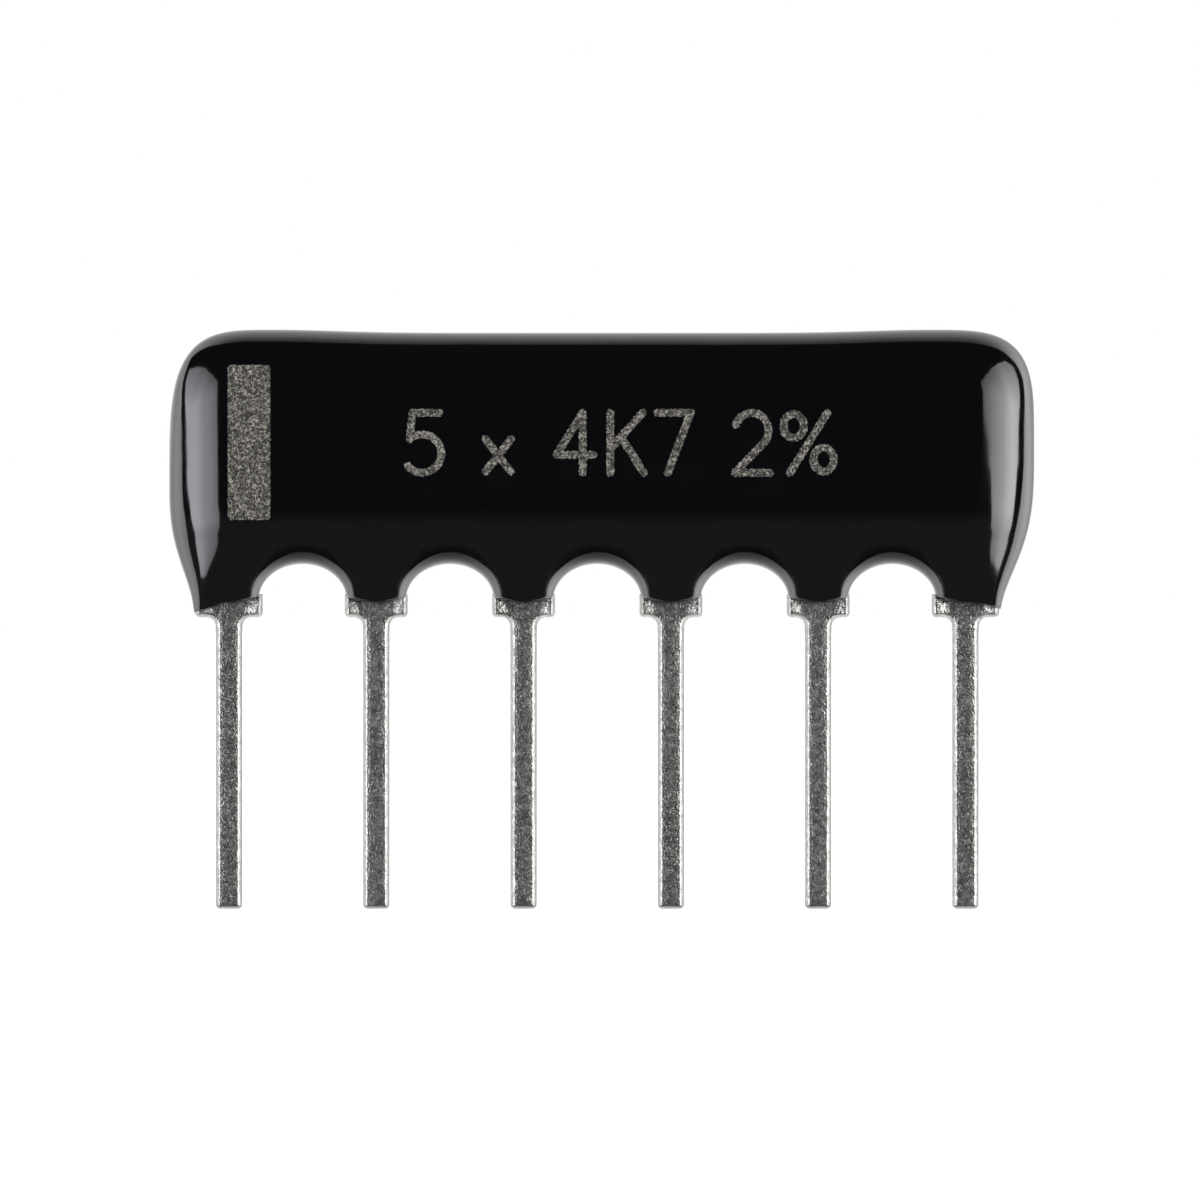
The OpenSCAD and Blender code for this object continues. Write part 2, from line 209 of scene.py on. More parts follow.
# Polar angle of the tent's rim by direction round the camera's axis, from the last pin's side over the top
TENT_RIM = [
    (0, 109), (5, 120), (9, 123.5), (14, 125), (22, 121), (39, 111.5), (72, 106), (90, 106.5), (111, 110.5),
    (130, 124), (145, 134), (155, 129.5), (163, 128), (168, 123.5), (173, 116), (177, 109), (180, 101),
    (187, 97), (203, 97), (215, 104), (235, 109), (270, 111.5), (310, 112), (332, 105.5), (349, 104),
    (357, 105), (360, 109),
]

# Glow of the tent: nearly black, grey from a start below the level over a span, black again near its rim
TENT_BLACK = 0.012
TENT_GREY = 0.112
GREY_START = 1
GREY_SPAN = 22
RIM_START = 88
RIM_SPAN = 22

# Glow of the white room on each side: at first and at last, with the start and the span of polar angles
ROOM_FIRST = (2.55, 0.95, 110, 35)
ROOM_LAST = (3.15, 0.75, 118, 38)
ROOM_ABOVE = (0.35, 0.9, 106, 24)
ROOM_BELOW = (0.36, 1.26, 112, 48)

# Light cards: outline by turn and height, glow by turn, and how the glow dims upwards and downwards
CARDS = [
    {
        "name": "first_card",
        "side": -1,
        "tint": "#f8faff",
        "outline": [
            (26, -2), (25, -9), (27, -22), (35, -31), (40, -31.5), (47, -32.5), (57, -33), (68, -30),
            (79, -26.5), (77, -24), (79, -18), (81, -8), (81, -2), (86, 0), (92, 1.5), (100, 6), (110, 11),
            (119, 16), (122, 23), (100, 34), (79, 39), (50, 33), (32, 22), (27, 6),
        ],
        "glow": [
            (24, 2.4), (30, 3.1), (36, 3.8), (44, 4.4), (52, 4.9), (60, 6.0), (66, 6.8), (76, 6.5),
            (84, 6.2), (92, 6.3), (100, 5.7), (108, 4.8), (120, 3.3),
        ],
        "rise": 30,
        "fall": (0.65, 12, 30),
    },
    {
        "name": "last_card",
        "side": 1,
        "tint": "#ffffff",
        "outline": [
            (20, 18), (20.5, 10), (21, 2.3), (25, 1.7), (29, 1), (34, 0), (37, -0.7), (38, -3), (41, -5),
            (43, -12), (47, -25), (55, -31), (65, -29.5), (74, -29), (88, -27), (87, -25.5), (90, -24),
            (91, -19), (89, -12), (88, -6), (88, -2), (90, 0), (93, 0.5), (99, 3), (107, 9), (111, 15),
            (109, 28), (98, 40), (78, 44), (55, 42), (34, 31),
        ],
        "glow": [
            (18, 1.5), (24, 2.3), (28, 2.8), (36, 3.75), (44, 4.75), (52, 5.5), (60, 6.4), (68, 7.9),
            (76, 9.0), (84, 8.4), (92, 7.4), (100, 6.5), (108, 4.8),
        ],
        "rise": 36,
        "fall": (0.6, 3, 42),
    },
]


def linear(code):
    """Turns an sRGB hex colour into linear red, green and blue."""
    shares = [int(code[k:k + 2], 16) / 255 for k in (1, 3, 5)]
    return tuple(s / 12.92 if s <= 0.04045 else ((s + 0.055) / 1.055) ** 2.4 for s in shares)


def set_inputs(tree, node, inputs):
    """Sets a node's inputs, by name or number, to values, sockets or the first outputs of other nodes."""
    for key, value in inputs.items():
        if isinstance(value, bpy.types.Node):
            value = value.outputs[0]
        if isinstance(value, bpy.types.NodeSocket):
            tree.links.new(value, node.inputs[key])
        else:
            node.inputs[key].default_value = value


def add_node(tree, kind, inputs=None, **settings):
    """Adds a node with its settings and its inputs."""
    node = tree.nodes.new(kind)
    for name, value in settings.items():
        setattr(node, name, value)
    set_inputs(tree, node, inputs or {})
    return node


def empty_tree(holder):
    """The node tree of a material or a world, with nothing in it."""
    holder.use_nodes = True
    holder.node_tree.nodes.clear()
    return holder.node_tree


def start_material(name):
    """A new material with its shader and the Object coordinates."""
    material = bpy.data.materials.new(name)
    tree = empty_tree(material)
    shader = add_node(tree, "ShaderNodeBsdfPrincipled")
    add_node(tree, "ShaderNodeOutputMaterial", {"Surface": shader})
    place = add_node(tree, "ShaderNodeTexCoord").outputs["Object"]
    return material, tree, shader, place


def per_metre(size):
    """Texture scale that draws a pattern of this size in millimetres on coordinates in metres."""
    return 1 / (size * MM)


def ramp_stops(node, stops):
    """Sets a colour ramp's stops from pairs of place and hex colour."""
    elements = node.color_ramp.elements
    while len(elements) < len(stops):
        elements.new(0.5)
    for element, (place, code) in zip(elements, stops):
        element.position = place
        element.color = (*linear(code), 1.0)


def dipped_epoxy(settings):
    """Dipped epoxy powder coat, cured black: a flowed gloss skin with faint waves and no grain."""
    material, tree, shader, place = start_material("dipped_black_epoxy")
    cloud = add_node(tree, "ShaderNodeTexNoise", {"Vector": place, "Scale": per_metre(1.6), "Detail": 3.0})
    paler = [share * 1.5 for share in settings.colour]
    tint = add_node(tree, "ShaderNodeMix", {
        "Factor": cloud, 6: (*settings.colour, 1.0), 7: (*paler, 1.0)}, data_type="RGBA")
    smear = add_node(tree, "ShaderNodeTexNoise", {"Vector": place, "Scale": per_metre(0.7), "Detail": 4.0})
    gloss = add_node(tree, "ShaderNodeMapRange", {
        "Value": smear, "From Min": 0.35, "From Max": 0.7,
        "To Min": settings.roughness, "To Max": settings.roughness * 1.5})
    # Flow waves about 1 mm long, a few micrometres high
    flow = add_node(tree, "ShaderNodeTexNoise", {"Vector": place, "Scale": per_metre(1.0), "Detail": 2.0})
    waves = add_node(tree, "ShaderNodeBump", {"Height": flow, "Strength": 1.0, "Distance": 4e-6})
    set_inputs(tree, shader, {
        "Base Color": tint.outputs[2], "Roughness": gloss, "Normal": waves, "IOR": 1.55})
    return material


def lasered_epoxy(settings):
    """Laser-marked epoxy: the beam foams the black skin into matte warm grey grains."""
    material, tree, shader, place = start_material("laser_marked_epoxy")
    grain = add_node(tree, "ShaderNodeTexNoise", {
        "Vector": place, "Scale": per_metre(settings.grain / MM), "Detail": 2.0, "Roughness": 0.6,
        "Distortion": 1.2})
    tint = add_node(tree, "ShaderNodeValToRGB", {"Fac": grain})
    ramp_stops(tint, [(0.36, "#0f0e0d"), (0.5, "#38352f"), (0.64, "#b4b0a6")])
    relief = add_node(tree, "ShaderNodeBump", {"Height": grain, "Strength": 1.0, "Distance": 1e-5})
    set_inputs(tree, shader, {"Base Color": tint, "Normal": relief, "Roughness": 0.7, "IOR": 1.5})
    return material


def tinned_bronze(settings):
    """Tin-plated bronze, stamped: dull mottled silver with small pits, scratches and darker cut tips."""
    material, tree, shader, place = start_material("tin_plated_bronze")
    mottle = add_node(tree, "ShaderNodeTexNoise", {
        "Vector": place, "Scale": per_metre(0.1), "Detail": 4.0, "Roughness": 0.65})
    tint = add_node(tree, "ShaderNodeValToRGB", {"Fac": mottle})
    ramp_stops(tint, [(0.3, "#7a7976"), (0.5, "#a6a5a2"), (0.7, "#d3d2ce")])
    height = add_node(tree, "ShaderNodeSeparateXYZ", {"Vector": place})
    cut = add_node(tree, "ShaderNodeMapRange", {
        "Value": height.outputs["Z"], "From Min": settings.tip + TIP_CUT * MM,
        "From Max": settings.tip + (TIP_CUT + TIP_FADE) * MM, "To Min": 0.85, "To Max": 0.0})
    ends = add_node(tree, "ShaderNodeMix", {
        "Factor": cut, 6: tint, 7: (*linear("#6c6663"), 1.0)}, data_type="RGBA")
    # The stamped edges are burnished, so they draw a sharper gloss than the face
    side = add_node(tree, "ShaderNodeTexCoord").outputs["Normal"]
    facing = add_node(tree, "ShaderNodeSeparateXYZ", {"Vector": side})
    dull = add_node(tree, "ShaderNodeMapRange", {
        "Value": facing.outputs["Y"], "From Min": -0.95, "From Max": -0.8,
        "To Min": settings.roughness, "To Max": settings.roughness * 0.48})
    # Pits of the plating, drawn at 0.04 mm so that they show
    pits = add_node(tree, "ShaderNodeTexNoise", {
        "Vector": place, "Scale": per_metre(0.04), "Detail": 2.0, "Roughness": 0.6})
    pitted = add_node(tree, "ShaderNodeBump", {"Height": pits, "Strength": 1.0, "Distance": 12e-6})
    # Scratches along the blade, 0.04 mm wide and eight times as long
    drawn = add_node(tree, "ShaderNodeMapping", {"Vector": place, "Scale": (1.0, 1.0, 0.12)})
    scratches = add_node(tree, "ShaderNodeTexNoise", {
        "Vector": drawn, "Scale": per_metre(0.04), "Detail": 2.0})
    scored = add_node(tree, "ShaderNodeBump", {
        "Height": scratches, "Strength": 1.0, "Distance": 2e-6, "Normal": pitted})
    set_inputs(tree, shader, {
        "Base Color": ends.outputs[2], "Roughness": dull, "Normal": scored, "Metallic": 1.0})
    return material


def fired_finish(name, stops, grain, roughness, metallic=0.0, relief=2e-6):
    """A fired or reflowed layer of the inner circuit: its colours run over a grain of real size."""
    material, tree, shader, place = start_material(name)
    speckle = add_node(tree, "ShaderNodeTexNoise", {
        "Vector": place, "Scale": per_metre(grain), "Detail": 3.0})
    tint = add_node(tree, "ShaderNodeValToRGB", {"Fac": speckle})
    ramp_stops(tint, stops)
    bumps = add_node(tree, "ShaderNodeBump", {"Height": speckle, "Strength": 1.0, "Distance": relief})
    set_inputs(tree, shader, {
        "Base Color": tint, "Normal": bumps, "Roughness": roughness, "Metallic": metallic})
    return material


def smooth_step(share):
    """Eases a share from 0 to 1 with level ends."""
    held = np.clip(share, 0.0, 1.0)
    return held * held * (3.0 - 2.0 * held)


def rounded(gap, radius):
    """Share of the full thickness at a gap from an edge that is rounded over this radius."""
    return np.sqrt(1.0 - (1.0 - np.clip(gap / radius, 0.0, 1.0)) ** 2)


class CoatForm:
    """Outline and half thickness of the dipped coat over a point of its front, in millimetres."""

    def __init__(self, settings):
        self.half_thickness = settings.half_thickness / MM
        self.crest = settings.crest / MM
        self.first_reach = settings.first_reach / MM
        self.last_reach = settings.last_reach / MM
        self.top_round = settings.top_round / MM
        self.end_round = settings.end_round / MM
        self.arch_round = settings.arch_round / MM
        self.lip_round = settings.lip_round / MM
        self.ripple = settings.ripple / MM
        self.bulge = settings.bulge / MM
        self.row_half = (LAST_X - FIRST_X) / 2 / MM
        self.pitch = (SECOND_X - FIRST_X) / MM
        self.arch_half = self.pitch / 2 - LEG_HALF
        self.arch_width = self.arch_half / math.sqrt(1 - (ARCH_SINK / ARCH_HEIGHT) ** 2)
        self.pins = np.linspace(-self.row_half, self.row_half, len(PIN_NAMES))
        self.arches = (self.pins[1:] + self.pins[:-1]) / 2

    def reach(self, x):
        """How far the coat reaches from its middle, on the side of x."""
        return np.where(x < 0, self.first_reach, self.last_reach)

    def belly(self, x):
        """Height of the widest place of the end on the side of x."""
        return np.where(x < 0, FIRST_BELLY, LAST_BELLY)

    def taper(self, x):
        """How far the end on the side of x draws in towards its leg."""
        return self.reach(x) - self.row_half - END_LEG

    def taper_power(self, x):
        """How late the end on the side of x draws in below its widest place."""
        return np.where(x < 0, FIRST_TAPER, LAST_TAPER)

    def top(self, x):
        """Top edge: a run that sags between two crests, and a squarish corner past each crest."""
        past = np.abs(x) - self.reach(x) + CORNER_LENGTH
        bend = (1 - np.clip(past / CORNER_LENGTH, 0, 1) ** CORNER_POWER) ** (1 / CORNER_POWER)
        corner = self.belly(x) + (self.crest - self.belly(x)) * bend
        run = self.crest - CREST_DROP * (1 - np.exp(-(past / CREST_REACH) ** 2))
        return np.where(past > 0, corner, run)

    def foot(self, x):
        """Lower edge: a leg on every pin, an arch between two pins, and a taper up each end."""
        past = np.maximum(np.abs(x) - self.row_half, 0)
        from_pin = np.min(np.abs(x[..., None] - self.pins), axis=-1)
        from_arch = np.min(np.abs(x[..., None] - self.arches), axis=-1)
        leg = LEG_Z + LEG_RISE * (from_pin / LEG_HALF) ** 2
        heel = LEG_Z - np.where(x < 0, FIRST_DROP, LAST_DROP) * smooth_step(past / END_LEG)
        inset = np.clip((self.reach(x) - np.abs(x)) / self.taper(x), 0, 1)
        down = (0.5 - np.sin(np.arcsin(1 - 2 * inset) / 3)) ** (1 / self.taper_power(x))
        rise = self.belly(x) - (self.belly(x) - TAPER_FOOT) * down
        end = (heel + rise + np.sqrt((heel - rise) ** 2 + (HEEL_ROUND * past) ** 2)) / 2
        arch = ARCH_Z + ARCH_HEIGHT * np.sqrt(np.clip(1 - (from_arch / self.arch_width) ** 2, 0, 1))
        middle = np.where(from_arch < self.arch_half, arch, leg)
        return np.where(past > 0, end, middle)

    def end_gap(self, x, z, side):
        """Distance to the end on one side, along the row."""
        belly = self.belly(side)
        down = np.clip((belly - z) / (belly - TAPER_FOOT), 0, 1)
        inset = self.taper(side) * smooth_step(down ** self.taper_power(side))
        return self.reach(side) - inset - side * x

    def arch_gap(self, x, z, centre):
        """Distance to an arch, an ellipse on upright sides, to first order."""
        across = (x - centre) / self.arch_width
        up = np.maximum(z - ARCH_Z, 0) / ARCH_HEIGHT
        level = np.hypot(across, up)
        slope = np.hypot(across / self.arch_width, up / ARCH_HEIGHT)
        return np.where(level < 1, 0, level * (level - 1) / np.maximum(slope, TINY))

    def half(self, x, z):
        """Half the thickness, with the faint waves that the dip leaves."""
        past = np.abs(x) > self.row_half
        from_pin = np.min(np.abs(x[..., None] - self.pins), axis=-1)
        lip_share = np.where(past, 1.0, 1 - np.clip(from_pin / LEG_HALF, 0, 1) ** 2)
        lip = rounded(z - self.foot(x), self.lip_round)
        up_leg = np.clip((z - LEG_Z) / LEG_LENGTH, -LEG_Z / LEG_LENGTH, 1)
        rising = np.sin(math.pi / 2 * up_leg)
        depth = FOOT_SHARE + (1 - FOOT_SHARE) * rising
        depth = depth * (1 - lip_share * (1 - lip)) * rounded(self.top(x) - z, self.top_round)
        end_edge = END_FOOT_SHARE + (1 - END_FOOT_SHARE) * smooth_step((z - LEG_Z) / END_FOOT_RISE)
        for side in (-1, 1):
            depth = depth * rounded(self.end_gap(x, z, side), self.end_round * end_edge)
        up_arch = smooth_step((z - FOOT_EDGE_Z) / FOOT_EDGE_RISE)
        arch_edge = FOOT_EDGE_SHARE + (1 - FOOT_EDGE_SHARE) * up_arch
        for centre in self.arches:
            depth = depth * rounded(self.arch_gap(x, z, centre), self.arch_round * arch_edge)
        total = sum(share for *_, share in WAVES)
        waves = sum(share * np.sin(along * x + up * z + start) for along, up, start, share in WAVES)
        sag = self.bulge * ((z - BULGE_Z) / BULGE_REACH) ** 2
        return depth * (self.half_thickness + self.ripple / 2 * (waves / total - 1) - sag)

    def columns(self):
        """Places of the mesh's columns, closest where the outline turns fastest."""
        quarter = np.linspace(0, math.pi / 2, END_COLUMNS + 1)[1:]
        first_end = self.pins[0] + LEG_HALF
        last_start = self.pins[-1] - LEG_HALF
        places = list(-self.first_reach + (first_end + self.first_reach) * (1 - np.cos(quarter)))
        turn = np.linspace(0, math.pi, ARCH_COLUMNS + 1)[1:]
        for number, centre in enumerate(self.arches):
            places.extend(centre - self.arch_half * np.cos(turn))
            if number < len(self.arches) - 1:
                pin = self.pins[number + 1]
                places.extend(np.linspace(pin - LEG_HALF, pin + LEG_HALF, LEG_COLUMNS + 1)[1:])
        places.extend(self.last_reach - (self.last_reach - last_start) * (1 - np.cos(quarter[::-1][1:])))
        return np.array(places)

    def rings(self):
        """One closed ring of points for each column: up the front, and down the back."""
        x = self.columns()
        share = (x + self.first_reach) / (self.first_reach + self.last_reach)
        middle = FIRST_BELLY + (LAST_BELLY - FIRST_BELLY) * share
        foot = self.foot(x)
        top = self.top(x)
        low = 1 - np.cos(np.linspace(0, math.pi / 2, FOOT_ROWS + 1))
        high = 1 - np.cos(np.linspace(math.pi / 2, 0, TOP_ROWS + 1)[1:])
        rows = [foot + (middle - foot) * share_up for share_up in low]
        rows += [top - (top - middle) * share_down for share_down in high]
        z = np.stack(rows, axis=1)
        x = np.repeat(x[:, None], z.shape[1], axis=1)
        half = self.half(x, z)
        front = np.stack([x, -half, z], axis=2)
        back = np.stack([x, half, z], axis=2)[:, -2::-1]
        return np.concatenate([front, back], axis=1)


def coat_mesh(settings):
    """The coat's skin: rings along the row, closed by a point at each end."""
    form = CoatForm(settings)
    rings = form.rings()
    count, size = rings.shape[:2]
    first = (-form.first_reach, 0.0, FIRST_BELLY)
    last = (form.last_reach, 0.0, LAST_BELLY)
    points = np.concatenate([rings.reshape(-1, 3), [first, last]]) * MM
    step = np.arange(size)
    after = (step + 1) % size
    faces = []
    for number in range(count - 1):
        low = number * size
        high = low + size
        faces.extend(zip(low + step, low + after, high + after, high + step))
    tip = count * size
    faces.extend(zip([tip] * size, after, step))
    end = (count - 1) * size
    faces.extend(zip([tip + 1] * size, end + step, end + after))
    mesh = bpy.data.meshes.new("epoxy_coat")
    mesh.from_pydata(points.tolist(), [], [tuple(int(k) for k in face) for face in faces])
    return close_mesh(mesh)


def close_mesh(mesh):
    """Merges doubles, drops empty faces, turns the faces outwards and shades them smooth."""
    shape = bmesh.new()
    shape.from_mesh(mesh)
    bmesh.ops.remove_doubles(shape, verts=shape.verts, dist=MERGE_DISTANCE)
    bmesh.ops.dissolve_degenerate(shape, edges=shape.edges, dist=MERGE_DISTANCE / 2)
    bmesh.ops.recalc_face_normals(shape, faces=shape.faces)
    for face in shape.faces:
        face.smooth = True
    shape.to_mesh(mesh)
    shape.free()
    mesh.update()
    return mesh


def arc_points(centre, radius, start, end):
    """Points on an arc of the pin's outline, from one angle to another in degrees."""
    angles = np.radians(np.linspace(start, end, CORNER_STEPS + 1))
    return [(centre[0] + radius * math.cos(a), centre[1] + radius * math.sin(a)) for a in angles]


def pin_outline(shoulder, tip_z, inset):
    """Front outline of a flat pin blank with its three tines, drawn in from its edge by inset."""
    tine_side = -TINE_REACH
    corner = max(SHOULDER_CORNER - inset, 0)
    tip = max(TIP_CORNER - inset, 0)
    tine_inset = min(inset, TINE_INSET)
    side = -shoulder / 2
    slot_inner = -MIDDLE_TINE / 2
    slot_outer = slot_inner - TINE_SLOT
    left = [
        (slot_inner + tine_inset, TINE_END - tine_inset),
        (slot_inner + tine_inset, SLOT_Z - tine_inset),
        (slot_outer - tine_inset, SLOT_Z - tine_inset),
        (slot_outer - tine_inset, TINE_END - tine_inset),
        (tine_side + tine_inset, TINE_END - tine_inset),
        (tine_side + tine_inset, SLOT_Z - tine_inset),
        (side + tine_inset, SLOT_Z - tine_inset),
    ]
    left += arc_points((side + inset + corner, inset + corner), corner, 180, 270)
    blade = -BLADE_WIDTH / 2
    left += arc_points((blade - SHOULDER_FILLET, -SHOULDER_FILLET), SHOULDER_FILLET + inset, 90, 0)
    left += arc_points((blade + inset + tip, tip_z + inset + tip), tip, 180, 270)
    return left + [(-x, z) for x, z in reversed(left)]


def edge_levels(settings):
    """Insets and places through the sheet, from back to front: a wall, a chamfer and a crowned face."""
    edge = settings.edge_round / MM
    chamfer = settings.chamfer / MM
    lean = settings.crown
    chamfer_turn = math.pi / 2 - settings.chamfer_lean
    wall_slope = math.tan(settings.draft)
    chamfer_inset = chamfer * math.tan(settings.chamfer_lean)
    crown_slope = math.tan(lean / 2)
    reach = BLADE_WIDTH / 2 - FACE_FLAT
    across = edge * (math.sin(chamfer_turn) - math.sin(lean))
    through = edge * (math.cos(lean) - math.cos(chamfer_turn))
    depth = SHEET - BACK_EDGE - chamfer - through - reach * crown_slope
    face_inset = (wall_slope * depth + chamfer_inset + across) / (1 - wall_slope * crown_slope)
    crown = (reach - face_inset) / math.sin(lean)
    face_place = crown * (1 - math.cos(lean)) - SHEET / 2
    corner = (face_inset - across, face_place + through)
    step = (corner[0] - chamfer_inset, corner[1] + chamfer)
    levels = [(reach + HOLD, SHEET / 2)]
    for turn in np.linspace(0, math.pi / 2, BACK_STEPS + 1):
        levels.append((BACK_EDGE * (1 - math.sin(turn)), SHEET / 2 - BACK_EDGE * (1 - math.cos(turn))))
    levels.append((step[0] - HOLD * wall_slope, step[1] + HOLD))
    levels.append((step[0] + HOLD * chamfer_inset / chamfer, step[1] - HOLD))
    for turn in np.linspace(chamfer_turn, lean, EDGE_STEPS + 1):
        inset = face_inset + edge * (math.sin(lean) - math.sin(turn))
        levels.append((inset, face_place + edge * (math.cos(lean) - math.cos(turn))))
    for turn in np.linspace(lean, 0, CROWN_STEPS + 1)[1:]:
        levels.append((reach - crown * math.sin(turn), crown * (1 - math.cos(turn)) - SHEET / 2))
    levels.append((reach + HOLD, -SHEET / 2))
    return levels


def tine_middle(x, z):
    """How far the sheet's middle is bent off the blade's plane: outer tines forward, middle one back."""
    outer = np.abs(x) > MIDDLE_TINE / 2 + TINE_SLOT / 2
    turned = smooth_step((z - SLOT_Z) / (PLATE_Z - SLOT_Z))
    flare = np.maximum(z - TINE_TOP, 0) * FLARE
    forward = (PAD_FACE + SHEET / 2) * turned + flare
    backward = (PLATE_FACE + SHEET / 2) * turned + flare
    return np.where(outer, -forward, backward)


def soft_part(value, soft):
    """The part of a value above 0, with a soft start."""
    return (value + math.hypot(value, soft)) / 2


def stamping_bend(x, z, settings):
    """Bends that stamping leaves in the sheet: shoulder corners forward, one side of the blade back."""
    corner = soft_part(abs(x) - FOLD_X - FOLD_SLANT * max(z, 0.0), BEND_SOFT)
    fade = float(smooth_step((z + SHOULDER_FILLET) / (2 * SHOULDER_FILLET)))
    side = soft_part(x - ROLL_X, BEND_SOFT)
    return side * math.tan(settings.roll) - corner * fade * math.tan(settings.fold)


def pin_mesh(name, shoulder, settings):
    """A stamped pin: drafted sides, a crowned face, bent corners, and tines that hold the plate."""
    rings = []
    for inset, place in edge_levels(settings):
        outline = pin_outline(shoulder / MM, settings.tip / MM, inset)
        rings.append([(x, place, z) for x, z in outline])
    size = len(rings[0])
    shape = bmesh.new()
    verts = [[shape.verts.new(point) for point in ring] for ring in rings]
    for low, high in zip(verts, verts[1:]):
        for k in range(size):
            after = (k + 1) % size
            shape.faces.new((low[k], low[after], high[after], high[k]))
    bmesh.ops.remove_doubles(shape, verts=shape.verts, dist=MERGE_DISTANCE / MM)
    rims = [edge for edge in shape.edges if edge.is_boundary]
    caps = bmesh.ops.holes_fill(shape, edges=rims, sides=0)["faces"]
    bmesh.ops.triangulate(shape, faces=caps)
    cuts = [((0, 0, z), (0, 0, 1)) for z in np.arange(CUT_LOW, PLATE_Z + CUT_RISE, CUT_RISE)]
    cuts += [((x, 0, 0), (1, 0, 0)) for x in np.arange(-CUT_SIDE, CUT_SIDE + CUT_ACROSS / 2, CUT_ACROSS)]
    for place, across in cuts:
        geometry = list(shape.verts) + list(shape.edges) + list(shape.faces)
        bmesh.ops.bisect_plane(shape, geom=geometry, plane_co=place, plane_no=across)
    for vert in shape.verts:
        x, y, z = vert.co
        heights = np.array([z - LEAN_STEP, z, z + LEAN_STEP])
        below, at, above = tine_middle(np.full(3, x), heights)
        lean = math.atan((above - below) / (2 * LEAN_STEP))
        bend = stamping_bend(x, z, settings)
        vert.co = (x, at + bend + y * math.cos(lean), z - y * math.sin(lean))
    bmesh.ops.scale(shape, vec=(MM, MM, MM), verts=shape.verts)
    mesh = bpy.data.meshes.new(name)
    shape.to_mesh(mesh)
    shape.free()
    return close_mesh(mesh)


def stroke_points(stroke):
    """Points of one stroke of a letter, from its corners or from its arc."""
    if isinstance(stroke[-1], tuple):
        return [np.array(point) for point in stroke]
    centre, radii, start, end = stroke
    steps = max(int(abs(end - start) / ARC_STEP), 2)
    angles = np.radians(np.linspace(start, end, steps + 1))
    across = centre[0] + radii[0] * np.cos(angles)
    up = centre[1] + radii[1] * np.sin(angles)
    return list(np.stack([across, up], axis=1))


def value_segments(text, height):
    """Line segments of the value mark, centred on its row, and its length, in millimetres."""
    pen = 0.0
    segments = []
    for letter in text:
        width, strokes = LETTERS[letter]
        for stroke in strokes:
            points = [(point + (pen, 0)) * height for point in stroke_points(stroke)]
            segments.extend(zip(points, points[1:]))
        pen += width + LETTER_GAP
    length = (pen - LETTER_GAP) * height
    shift = np.array((length / 2, height / 2))
    return [(start - shift, end - shift) for start, end in segments], length


def nearest_segment(x, z, segments):
    """Distance from a point to the nearest of some line segments."""
    nearest = np.full(x.shape, np.inf)
    for start, end in segments:
        run = np.subtract(end, start)
        share = ((x - start[0]) * run[0] + (z - start[1]) * run[1]) / max(float(run @ run), TINY)
        share = np.clip(share, 0, 1)
        gap = np.hypot(x - start[0] - share * run[0], z - start[1] - share * run[1])
        nearest = np.minimum(nearest, gap)
    return nearest


def stroke_depth(x, z, segments, width):
    """How deep a point lies inside the strokes, with the beam's scalloped edge; above 0 is inside."""
    return width / 2 - nearest_segment(x, z, segments) + scallops(x, z)


def card_depth(x, z, corners):
    """How deep a point lies inside a card's outline; above 0 is inside."""
    segments = list(zip(corners, corners[1:] + corners[:1]))
    inside = np.zeros(x.shape, bool)
    for start, end in segments:
        level = (start[1] > z) != (end[1] > z)
        slope = (end[0] - start[0]) / (end[1] - start[1]) if end[1] != start[1] else 0.0
        inside ^= level & (x < start[0] + (z - start[1]) * slope)
    return np.where(inside, 1, -1) * nearest_segment(x, z, segments)


def bar_depth(x, z, half_width, half_height, corner):
    """How deep a point lies inside the bar; above 0 is inside."""
    across = np.abs(x) - half_width + corner
    up = np.abs(z) - half_height + corner
    outside = np.hypot(np.maximum(across, 0), np.maximum(up, 0))
    return corner - outside - np.minimum(np.maximum(across, up), 0) + scallops(x, z)


def scallops(x, z):
    """Uneven edge that the beam's spots leave."""
    waves = sum(np.sin(along * x + up * z + start) for along, up, start in SCALLOPS)
    return SCALLOP_DEPTH * waves / len(SCALLOPS)


def fill_shape(depth, x, z):
    """Points and faces of the shape that depth gives on a grid, cut to its edge where depth is 0."""
    grid_x, grid_z = np.meshgrid(x, z, indexing="ij")
    value = depth(grid_x, grid_z)
    index = {}
    points = []

    def point(key, place):
        if key not in index:
            index[key] = len(points)
            points.append(place)
        return index[key]

    faces = []
    for i in range(len(x) - 1):
        for k in range(len(z) - 1):
            corners = [(i, k), (i + 1, k), (i + 1, k + 1), (i, k + 1)]
            levels = [value[c] for c in corners]
            if max(levels) <= 0:
                continue
            face = []
            for number, corner in enumerate(corners):
                after = (number + 1) % 4
                if levels[number] > 0:
                    face.append(point(corner, (x[corner[0]], z[corner[1]])))
                if (levels[number] > 0) != (levels[after] > 0):
                    far = corners[after]
                    share = levels[number] / (levels[number] - levels[after])
                    cross = (x[corner[0]] + share * (x[far[0]] - x[corner[0]]),
                             z[corner[1]] + share * (z[far[1]] - z[corner[1]]))
                    face.append(point(tuple(sorted((corner, far))), cross))
            faces.append(face)
    return points, faces


def mark_plate(name, depth, half_width, half_height, centre):
    """A flat closed plate of the shape that depth gives, in the plane of the pin row, at its place."""
    columns = math.ceil(2 * half_width / MARK_CELL) + 2
    rows = math.ceil(2 * half_height / MARK_CELL) + 2
    x = (np.arange(columns + 1) - columns / 2) * MARK_CELL
    z = (np.arange(rows + 1) - rows / 2) * MARK_CELL
    points, faces = fill_shape(depth, x, z)
    return slab_mesh(name, [(a + centre[0], b + centre[1]) for a, b in points], faces)


